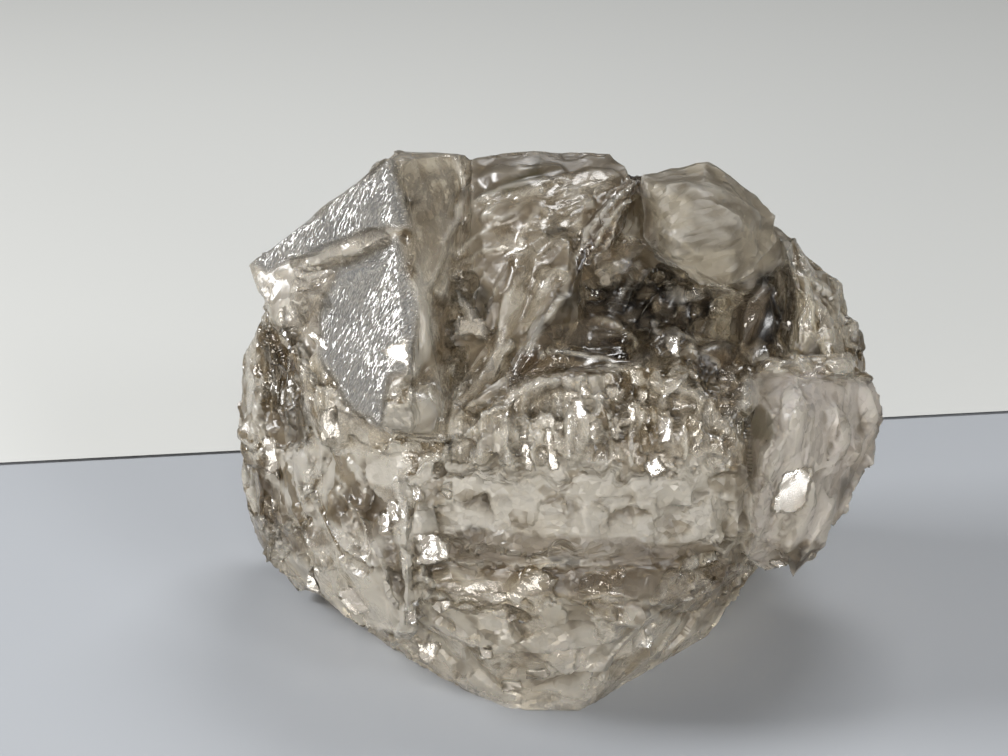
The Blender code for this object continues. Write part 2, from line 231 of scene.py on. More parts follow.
def around(u, v, line, reach):
    # which places lie within reach of a line's bounding box
    (x0, y0), (x1, y1) = np.min(line, axis=0) - reach, np.max(line, axis=0) + reach
    return np.flatnonzero((u > x0) & (u < x1) & (v > y0) & (v < y1))


def lineShare(u, v, line, width):
    # 1 on the line to 0 at half its width away, the width tapering by (4 s (1 - s))^0.3 along it
    line = np.array(line)
    lengths = np.hypot(*np.diff(line, axis=0).T)
    starts = np.concatenate([[0], np.cumsum(lengths)])
    share = np.zeros(len(u))
    for (ax, ay), (bx, by), start, length in zip(line[:-1], line[1:], starts, lengths):
        t = np.clip(((u - ax) * (bx - ax) + (v - ay) * (by - ay)) / length**2, 0, 1)
        away = np.hypot(u - ax - t * (bx - ax), v - ay - t * (by - ay))
        s = (start + t * length) / starts[-1]
        half = width / 2 * np.maximum(4 * s * (1 - s), 0.02) ** 0.3
        share = np.maximum(share, 1 - away / half)
    return rise(share, 0, 0.7)


# the regions of the etched side, as outlines where the viewer sees them
zones = {
    "silverHigh": [(250, 262), (392, 156), (408, 226), (368, 232), (330, 246), (268, 272)],
    "silverLow": [(338, 268), (398, 240), (418, 300), (412, 372), (392, 372), (380, 428), (348, 400),
        (318, 360), (322, 300)],
    "window": [(258, 272), (330, 247), (370, 233), (398, 232), (398, 242), (338, 268), (322, 300),
        (322, 356), (300, 345), (266, 310)],
    "strip": [(396, 150), (466, 152), (462, 230), (450, 300), (445, 440), (412, 440), (422, 300)],
    "middle": [(466, 150), (640, 155), (600, 230), (572, 300), (520, 390), (470, 420), (448, 330)],
    "topBand": [(466, 148), (520, 148), (640, 152), (638, 172), (560, 176), (520, 190), (472, 198)],
    "brown": [(580, 200), (640, 170), (655, 240), (640, 300), (590, 300)],
    "lump": [(640, 155), (700, 150), (770, 190), (790, 240), (760, 290), (700, 282), (640, 240)],
    "cavity": [(575, 260), (640, 240), (700, 280), (745, 300), (790, 262), (806, 300), (790, 360),
        (740, 372), (690, 352), (640, 366), (540, 372), (505, 388)],
    "rim": [(790, 225), (860, 280), (865, 370), (795, 380), (808, 300)],
    "slab": [(752, 370), (890, 380), (890, 460), (806, 590), (748, 560)],
    # the slab's shine, painted on in the tint as a reflection
    "slabShine": [(780, 480), (812, 470), (805, 530), (775, 548)],
    "flank": [(228, 330), (300, 330), (330, 400), (325, 470), (270, 560), (228, 560)],
    "curtain": [(455, 430), (480, 405), (560, 366), (690, 380), (752, 420), (752, 470), (560, 480),
        (455, 480)],
    "belt": [(420, 470), (770, 470), (770, 570), (420, 560)],
    "veils": [(410, 545), (760, 545), (740, 600), (560, 610), (410, 600)],
    "lowerLeft": [(250, 440), (420, 450), (420, 650), (330, 620), (250, 560)],
    "belly": [(250, 560), (780, 590), (720, 640), (580, 720), (500, 720), (300, 640)],
}
zones = {name: placed(outline) for name, outline in zones.items()}
zoneEdges = {
    "loose": ("middle", "flank", "curtain", "belt", "veils", "lowerLeft", "belly"),  # these wander widely
    "slight": (2.2, 0.16, 3),  # mm that a border wanders, its turns a mm, and octaves
    "strong": (11.0, 0.14, 4),
    "soft": 1.0,  # mm over which a border fades, to each side
    "back": (-26, -14),  # the -y where the zones start and are full, mm
    "upward": 0.7,  # how much facing up counts beside facing front
    "turned": (-0.3, 0.2),  # the facing where the zones start and are full
}


def inFront(p):
    # 1 ahead of the crystal's back half, 0 behind it
    return rise(-p[:, 1], *zoneEdges["back"])


def outwardness(n):
    # how much each face is turned to the viewer: upward nz - ny
    return -n[:, 1] + zoneEdges["upward"] * n[:, 2]


def facing(p, n):
    # 1 on the side the viewer sees, 0 behind
    return rise(outwardness(n), *zoneEdges["turned"]) * inFront(p)


def strayed(p, amount, scale, octaves, salt):
    # how far a border wanders across and up: amount (cloud - 1/2)
    return [amount * (cloudy(p * scale, octaves, salt + k) - 0.5) for k in range(2)]


def masksOf(p, n):
    # how much each point belongs to each zone, 0..1: distance to the wandering outline, faded at its border
    u, v = seenAt(p)
    slight, strong = strayed(p, *zoneEdges["slight"], 91), strayed(p, *zoneEdges["strong"], 93)
    front = facing(p, n)
    w = {}
    for name, outline in zones.items():
        across, up = strong if name in zoneEdges["loose"] else slight
        w[name] = rise(within(u + across, v + up, outline), -zoneEdges["soft"], zoneEdges["soft"]) * front
    w["silver"] = np.maximum(w["silverHigh"], w["silverLow"])
    return w


def summed(w, shares):
    # sum of share * zone
    return sum(share * w[name] for name, share in shares.items())


def spared(w, shares):
    # product of 1 - share * zone
    return math.prod(1 - share * w[name] for name, share in shares.items())


def most(w, shares):
    # greatest share * zone
    return np.maximum.reduce([share * w[name] for name, share in shares.items()])


def pointsOf(mesh):
    # the mesh's points as rows of x, y, z
    p = np.empty(len(mesh.vertices) * 3, dtype=np.float64)
    mesh.vertices.foreach_get("co", p)
    return p.reshape(-1, 3)


def designPoints(mesh):
    # the same in mm from the design's own middle
    return pointsOf(mesh) / mm + designMiddle


def normalsOf(mesh):
    # the direction square to the surface at each point
    n = np.empty(len(mesh.vertices) * 3, dtype=np.float32)
    mesh.vertex_normals.foreach_get("vector", n)
    return n.reshape(-1, 3).astype(np.float64)


def setPoints(mesh, p):
    # moves the mesh's points to those places, m
    mesh.vertices.foreach_set("co", p.astype(np.float32).ravel())
    mesh.update()


def setDesignPoints(mesh, p):
    # the same from mm and the design's own middle
    setPoints(mesh, (p - designMiddle) * mm)


def edgesOf(mesh):
    # the two end numbers of every edge
    pairs = np.empty(len(mesh.edges) * 2, dtype=np.int32)
    mesh.edges.foreach_get("vertices", pairs)
    return pairs.reshape(-1, 2).T


def relaxed(mesh, p, weight, rounds):
    # each round moves every point towards the mean of its neighbours by its weight: p + weight (mean - p)
    a, b = edgesOf(mesh)
    count = len(p)
    share = np.maximum(np.bincount(a, minlength=count) + np.bincount(b, minlength=count), 1)
    for _ in range(rounds):
        total = [np.bincount(a, p[b, k], count) + np.bincount(b, p[a, k], count) for k in range(3)]
        p = p + (np.stack(total, 1) / share[:, None] - p) * weight[:, None]
    return p


def applied(obj):
    # bakes the object's modifiers into its mesh
    graph = bpy.context.evaluated_depsgraph_get()
    mesh = bpy.data.meshes.new_from_object(obj.evaluated_get(graph))
    obj.modifiers.clear()
    old = obj.data
    obj.data = mesh
    bpy.data.meshes.remove(old)


def linked(name, data):
    # a new object of that name in the scene
    obj = bpy.data.objects.new(name, data)
    bpy.context.scene.collection.objects.link(obj)
    return obj


def merged(parts):
    # one mesh from lists of points and triangles, mm to metres
    points, triangles, start = [], [], 0
    for p, t in parts:
        points.append((p - designMiddle) * mm)
        triangles.append(t + start)
        start += len(p)
    mesh = bpy.data.meshes.new("merged")
    mesh.from_pydata(np.vstack(points).tolist(), [], np.vstack(triangles).tolist())
    return mesh


def largestShell(mesh):
    # drops closed scraps apart from the body: each point takes the smallest number among its neighbours' till
    # none changes, and only the commonest number stays
    a, b = edgesOf(mesh)
    shell = np.arange(len(mesh.vertices))
    while True:
        before = shell.copy()
        least = np.minimum(shell[a], shell[b])
        np.minimum.at(shell, a, least)
        np.minimum.at(shell, b, least)
        shell = shell[shell]
        if (shell == before).all():
            break
    spare = np.flatnonzero(shell != np.bincount(shell).argmax())
    work = bmesh.new()
    work.from_mesh(mesh)
    work.verts.ensure_lookup_table()
    bmesh.ops.delete(work, geom=[work.verts[k] for k in spare], context="VERTS")
    work.to_mesh(mesh)
    work.free()
    print("scraps dropped:", len(spare), "points")


# crowds of small parallel crystals: the zones they grow in (None is the sides and back), grid spacing, radii,
# how far they stand out, how much longer than wide they are, and what share of them grow
crowds = [
    {"zones": None, "spacing": 8.0, "radius": (2.8, 5.6), "proud": (-0.2, 0.6),
     "stretch": (0.0, 1.2), "share": 1.0, "salt": 11},
    {"zones": None, "spacing": 4.6, "radius": (1.4, 2.8), "proud": (-0.2, 0.5),
     "stretch": (0.0, 1.4), "share": 0.8, "salt": 31},
    {"zones": ("flank", "rim"), "spacing": 4.0, "radius": (1.2, 2.2), "proud": (-0.2, 0.7),
     "stretch": (1.0, 3.5), "share": 0.6, "salt": 131},
    {"zones": ("belt", "lowerLeft"), "spacing": 7.0, "radius": (2.2, 4.2), "proud": (-0.3, 0.5),
     "stretch": (0.0, 1.2), "share": 0.6, "salt": 191},
]
crowdLimits = {
    "bare": ("silverHigh", "silverLow", "strip", "lump", "cavity", "middle", "belly", "curtain"),
    "clearOf": 0.7,  # radii that a crystal stays outside them
    "block": (-14, 24, 50),  # none left of, before and above these, mm
    "aboveFloor": 2,  # mm, and its own radius twice
    "inZone": 0.5,  # share of a zone that counts as in it, and of all zones that counts as outside
    "outside": 0.3,
    "footRoom": (1.9, 0.5),  # radii under its middle that a crystal reaches, and mm it stays above the floor
    "spare": 0.5,  # how much further than its tip any corner of a small crystal may stand out, mm
    "shrinks": (1.0, 0.8, 0.8, 0.8, 0.8),  # tries at fitting each, by how much smaller than the last
}
pits = {"spacing": 11.0, "radius": (1.6, 3.2), "deep": (0.6, 1.6), "salt": 71,
        "apart": 2.0, "above": 6, "behind": -20, "outside": 0.02}


def surfaceSpots(tree, spacing, salt, low, high):
    # one jittered point a grid cell, moved onto the surface where that is nearer than half a cell
    lines = [np.arange(math.floor(a / spacing) - 1, math.ceil(b / spacing) + 1) for a, b in zip(low, high)]
    homes = np.stack(np.meshgrid(*lines, indexing="ij"), -1).reshape(-1, 3).astype(float)
    wanted = (homes + 0.15 + 0.7 * chances(homes, salt).T) * spacing
    spots, normals, kept = [], [], []
    for home, point in zip(homes, wanted):
        place, normal, _, _ = tree.find_nearest(point, spacing * 0.5)
        if place is not None:
            spots.append(place)
            normals.append(normal)
            kept.append(home)
    return np.array(spots), np.array(normals), np.array(kept)


def standsOut(tree, points):
    # how far each point lies outside the surface, mm; below 0 inside
    out = np.empty(len(points))
    for k, point in enumerate(points):
        place, normal, _, away = tree.find_nearest(point)
        out[k] = math.copysign(away, (Vector(point) - place).dot(normal))
    return out


def fitted(tree, spots, normals, radii, stretch, proud):
    # centres and radii of crystals whose highest point is `proud` above the spot; each shrinks till no corner
    # stands further out than the largest share allowed, and one that never does is dropped
    radii = radii.copy()
    good = np.zeros(len(radii), dtype=bool)
    centres = np.zeros_like(spots)
    for shrink in crowdLimits["shrinks"]:
        todo = np.flatnonzero(~good)
        radii[todo] *= shrink
        one = stretched(radii[todo], stretch[todo])
        top = np.einsum("kij,kj->ki", one, normals[todo]).max(axis=1)
        centres[todo] = spots[todo] + normals[todo] * (proud[todo] - top)[:, None]
        corners = centres[todo][:, None, :] + one
        out = standsOut(tree, corners.reshape(-1, 3)).reshape(len(todo), -1).max(axis=1)
        good[todo] = out < proud[todo] + crowdLimits["spare"]
    return centres, radii, good


def grown(tree, low, high):
    # points and triangles of all the small crystals
    parts = []
    for kind in crowds:
        spots, normals, homes = surfaceSpots(tree, kind["spacing"], kind["salt"], low, high)
        w = masksOf(spots, normals)
        u, v = seenAt(spots)
        chance = chances(homes, kind["salt"] + 20, 4)
        radii = between(kind["radius"], chance[0] ** 1.5)
        stretch = between(kind["stretch"], chance[1] ** 2)
        proud = between(kind["proud"], chance[2])
        bare = np.maximum.reduce([within(u, v, zones[name]) for name in crowdLimits["bare"]])
        left, before, above = crowdLimits["block"]
        block = (spots[:, 0] < left) & (spots[:, 2] > above) & (spots[:, 1] < before)
        wanted = (bare < -crowdLimits["clearOf"] * radii) & ~block
        wanted &= spots[:, 2] > crowdLimits["aboveFloor"] + 2 * radii
        if kind["zones"]:
            wanted &= np.maximum.reduce([w[name] for name in kind["zones"]]) > crowdLimits["inZone"]
        else:
            wanted &= np.maximum.reduce(list(w.values())) < crowdLimits["outside"]
        wanted &= chance[3] < kind["share"]
        spots, normals, radii, stretch, proud = (x[wanted] for x in (spots, normals, radii, stretch, proud))
        centres, radii, good = fitted(tree, spots, normals, radii, stretch, proud)
        reach, clear = crowdLimits["footRoom"]
        good &= centres[:, 2] - radii * (reach + stretch) > clear
        parts.append(crowd(centres[good], radii[good], stretch[good]))
        print("grown", good.sum(), "of", len(good), "crystals of spacing", kind["spacing"])
    return parts


def hollows(tree, low, high):
    # crystal-shaped pits: the same form set just under the surface, centre = spot + (bottom - deep) normal,
    # none touching another
    spots, normals, homes = surfaceSpots(tree, pits["spacing"], pits["salt"], low, high)
    w = masksOf(spots, normals)
    calm = np.maximum.reduce(list(w.values()))
    chance = chances(homes, pits["salt"] + 20)
    radii, deep = between(pits["radius"], chance[0]), between(pits["deep"], chance[1])
    bottom = radii * (-(normals @ crystalShape()[0].T)).max(axis=1)
    centres = spots + normals * (bottom - deep)[:, None]
    keep = (calm < pits["outside"]) & (spots[:, 2] > pits["above"]) & (spots[:, 1] > pits["behind"])
    chosen = []
    for k in np.flatnonzero(keep):
        needed = [(j, pits["apart"] * (radii[k] + radii[j])) for j in chosen]
        if all(np.linalg.norm(centres[k] - centres[j]) > gap for j, gap in needed):
            chosen.append(k)
    print("pits", len(chosen))
    return crowd(centres[chosen], radii[chosen], np.zeros(len(chosen)))


# ridges, sheets and folds along the etched side, each through the points where the viewer sees it:
# radius, how tall against wide, how sharp its crest is (0 round, 1 keen), and the lines
ridges = {
    "middleSheets": (3.2, 0.6, 0.75, [
        [(472, 205), (500, 196), (545, 188), (600, 165)],
        [(462, 226), (495, 215), (540, 205), (590, 185), (628, 168)],
        [(452, 250), (480, 240), (520, 226), (560, 215), (600, 196)],
        [(440, 275), (468, 258), (505, 245), (550, 238), (590, 215)],
        [(430, 300), (455, 280), (480, 268), (520, 262)], [(475, 180), (520, 176), (566, 166)]]),
    "flows": (1.5, 1.2, 0.85, [
        [(489, 367), (501, 337), (516, 299), (521, 265), (531, 227), (542, 212)],
        [(527, 352), (540, 322), (556, 310), (565, 299), (588, 291)],
        [(518, 338), (531, 326), (540, 300), (554, 288), (565, 265), (569, 231)],
        [(478, 344), (488, 322), (492, 296), (506, 276), (508, 250)]]),
    "fin": (1.3, 1.8, 0.9, [
        [(574, 280), (588, 250), (612, 214), (640, 178)], [(564, 276), (580, 244), (602, 208), (628, 180)]]),
    "twist": (1.3, 1.3, 0.7, [
        [(452, 412), (468, 382), (482, 352), (508, 326)], [(470, 404), (486, 384), (505, 352), (514, 336)],
        [(440, 404), (452, 372), (460, 345)], [(462, 300), (470, 320), (484, 340)]]),
    "lamellae": (1.6, 1.2, 0.8, [
        [(600 + 16 * k, 318 + 4 * k), (616 + 17 * k, 292 + 4 * k), (634 + 18 * k, 266 + 5 * k)]
        for k in range(6)]),
    "bowlLayers": (2.0, 0.8, 0.6, [
        [(528, 352), (560, 338), (600, 333), (642, 342)], [(532, 338), (565, 322), (605, 318), (645, 330)],
        [(540, 324), (570, 309), (610, 305), (640, 316)], [(548, 310), (580, 296), (612, 293)]]),
    "cups": (2.5, 1.0, 0.1, [
        [(632, 394), (640, 362), (660, 343), (688, 334)], [(657, 399), (686, 369), (697, 338)],
        [(700, 420), (697, 385), (712, 356), (735, 350)], [(736, 354), (744, 385), (736, 420)]]),
    "darkPrism": (1.9, 1.0, 0.7, [
        [(745, 352), (752, 304), (772, 268)], [(792, 362), (795, 320), (790, 276)]]),
    "ledge": (2.2, 1.0, 0.3, [
        [(445, 434), (462, 413), (490, 393), (520, 374), (551, 362), (590, 361), (626, 370), (654, 382),
        (692, 397), (735, 408)], [(456, 447), (476, 426), (505, 406), (530, 392), (565, 381), (610, 384)]]),
    "lowerLeft": (2.0, 1.0, 0.8, [
        [(330, 480), (360, 510), (385, 560), (400, 610), (410, 645)],
        [(400, 470), (398, 520), (408, 570), (412, 640)], [(417, 480), (419, 540), (422, 600)],
        [(290, 500), (320, 540), (345, 600)], [(262, 520), (280, 560), (310, 590)],
        [(330, 482), (332, 520), (348, 556), (392, 566)]]),
    "slabEdges": (2.1, 0.9, 0.4, [
        [(752, 372), (790, 362), (830, 366), (862, 360)], [(766, 404), (780, 430), (765, 480), (752, 545)],
        [(812, 470), (806, 530), (780, 560)], [(830, 400), (840, 440), (826, 480)],
        [(862, 380), (870, 420), (850, 470)], [(790, 385), (800, 430), (792, 465)]]),
    "blockWindows": (1.2, 1.0, 0.8, [
        [(268, 276), (300, 268), (340, 251), (398, 238)], [(300, 287), (345, 279), (390, 263)],
        [(280, 290), (300, 330), (322, 352)], [(322, 296), (312, 330), (322, 352)], [(322, 296), (345, 272)],
        [(290, 345), (300, 385), (330, 410)], [(262, 300), (272, 345), (290, 390)]]),
    "stripRim": (1.8, 0.8, 0.1, [
        [(463, 154), (467, 190), (460, 224)], [(448, 236), (428, 280), (421, 330), (432, 380), (441, 430)]]),
    "lumpFolds": (3.0, 0.3, 0.3, [
        [(650, 200), (700, 215), (762, 252)], [(660, 180), (710, 192), (768, 222)],
        [(655, 232), (700, 250), (740, 278)]]),
}
# rows of ribs between an upper and a lower line
ribRows = {
    "curtainRibs": {"top": [(472, 432), (520, 396), (590, 378), (660, 398), (742, 418)], "foot": [(466, 478),
        (530, 474), (610, 472), (690, 474), (750, 478)], "count": 24, "radius": (0.9, 2.2), "tall": 1.7,
        "sharp": 0.2, "salt": 501},
    "flankRibs": {"top": [(250, 345), (290, 340), (332, 352)], "foot": [(262, 530), (300, 500), (334, 470)],
        "count": 11, "radius": (0.8, 1.5), "tall": 0.9, "sharp": 0.6, "salt": 521},
    "rimRibs": {"top": [(796, 236), (826, 262), (852, 300)], "foot": [(800, 352), (830, 358), (864, 368)],
        "count": 6, "radius": (1.2, 2.0), "tall": 0.8, "sharp": 0.5, "salt": 541},
}
ridgeLook = {
    "sides": 12,
    "rows": 22,
    "wander": 1.2,  # mm that a ridge strays from its line
    "swell": 0.35,  # share of its radius that comes and goes
    "fewest": 6,  # rows that have to meet the body
    "salt": 600,
}


def along(points, shares):
    # points at the given shares of the way along a line, by its length, with the corners rounded off
    points = np.array(points, dtype=float)
    steps = np.concatenate([[0], np.cumsum(np.linalg.norm(np.diff(points, axis=0), axis=1))])
    fine = np.linspace(0, steps[-1], 60)
    line = smoothed(np.stack([np.interp(fine, steps, points[:, k]) for k in range(points.shape[1])], 1), 9)
    reached = np.asarray(shares) * steps[-1]
    return np.stack([np.interp(reached, fine, line[:, k]) for k in range(line.shape[1])], 1)


def smoothed(rows, width):
    # running mean of neighbouring rows, with the end rows repeated
    half = width // 2
    padded = np.concatenate([np.repeat(rows[:1], half, 0), rows, np.repeat(rows[-1:], half, 0)])
    kernel = np.ones(width) / width
    return np.stack([np.convolve(padded[:, k], kernel, "valid") for k in range(rows.shape[1])], 1)


def onBody(tree, flat):
    # where the viewer's rays through those places meet the body, and the normals there:
    # the ray from the eye through middle + u across + v up
    spots, normals = [], []
    for u, v in flat:
        target = lookedAt + np.array([1, 0, 0]) * u + np.array([0, sinDown, cosDown]) * v
        place, normal, _, _ = tree.ray_cast(eye, Vector(target - eye).normalized())
        if place is not None:
            spots.append(place)
            normals.append(normal)
    return np.array(spots), np.array(normals)


def ridge(tree, line, radius, tall, sharp, salt):
    # a lens or round profile carried along a line on the body: place + r(s) (side cos t + up tall y(t)),
    # y = (1 - sharp) sin t + sharp (1 - |cos t|) sign(sin t), r(s) = radius (4 s (1 - s))^0.35, with swells
    sides = ridgeLook["sides"]
    spots, normals = onBody(tree, along(placed(line), np.linspace(0, 1, ridgeLook["rows"])))
    if len(spots) < ridgeLook["fewest"]:
        return None
    spots, normals = smoothed(spots, 5), smoothed(normals, 7)
    s = np.linspace(0, 1, len(spots))
    stray = np.stack([wander(spots + 50 * k, 7, salt) for k in range(3)], 1)
    spots = spots + ridgeLook["wander"] * stray * np.minimum(1, 3 * s)[:, None]
    swell = 1 + ridgeLook["swell"] * (2 * soft(np.stack([s * 5, s * 0 + salt, s * 0], 1), salt) - 1)
    r = radius * np.maximum(4 * s * (1 - s), 0.001) ** 0.35 * swell
    forward = np.gradient(spots, axis=0)
    forward /= np.linalg.norm(forward, axis=1)[:, None]
    normals = normals - (normals * forward).sum(1)[:, None] * forward
    normals /= np.linalg.norm(normals, axis=1)[:, None]
    across = np.cross(forward, normals)
    t = np.arange(sides) * 2 * math.pi / sides
    y = (1 - sharp) * np.sin(t) + sharp * (1 - np.abs(np.cos(t))) * np.sign(np.sin(t))
    ring = across[:, None, :] * np.cos(t)[None, :, None] + normals[:, None, :] * (tall * y)[None, :, None]
    points = spots[:, None, :] + r[:, None, None] * ring
    points = np.concatenate([points.reshape(-1, 3), spots[:1], spots[-1:]])
    i, k = np.meshgrid(np.arange(len(spots) - 1), np.arange(sides), indexing="ij")
    a, b = i * sides + k, i * sides + (k + 1) % sides
    k = np.arange(sides)
    m = (k + 1) % sides
    first, last = k * 0 + len(points) - 2, k * 0 + len(points) - 1
    end = (len(spots) - 1) * sides
    corners = [(a, b, a + sides), (b, b + sides, a + sides), (m, k, first), (end + k, end + m, last)]
    return points, np.concatenate([np.stack(three, -1).reshape(-1, 3) for three in corners])


def ridged(tree):
    # points and triangles of every ridge and rib
    parts = []
    for number, (radius, tall, sharp, lines) in enumerate(ridges.values()):
        parts += [ridge(tree, line, radius, tall, sharp, ridgeLook["salt"] + number) for line in lines]
    for form in ribRows.values():
        count = form["count"]
        shares = (np.arange(count) + 0.5) / count
        seat = np.stack([np.arange(count), np.zeros(count), np.zeros(count)], 1)
        jitter = chances(seat, form["salt"], 6) - 0.5
        tops = along(form["top"], np.clip(shares + 0.6 * jitter[0] / count, 0, 1))
        feet = along(form["foot"], np.clip(shares + 0.9 * jitter[1] / count, 0, 1))
        for k in range(count):
            top = tops[k] + (feet[k] - tops[k]) * (0.15 + 0.3 * jitter[2][k])
            foot = tops[k] + (feet[k] - tops[k]) * (0.85 + 0.5 * jitter[3][k])
            bend = (top + foot) / 2 + (7 * jitter[4][k], 0)
            r = between(form["radius"], jitter[5][k] + 0.5)
            parts.append(ridge(tree, [top, bend, foot], r, form["tall"], form["sharp"], form["salt"] + k))
    parts = [part for part in parts if part is not None]
    print("ridges", len(parts))
    return parts
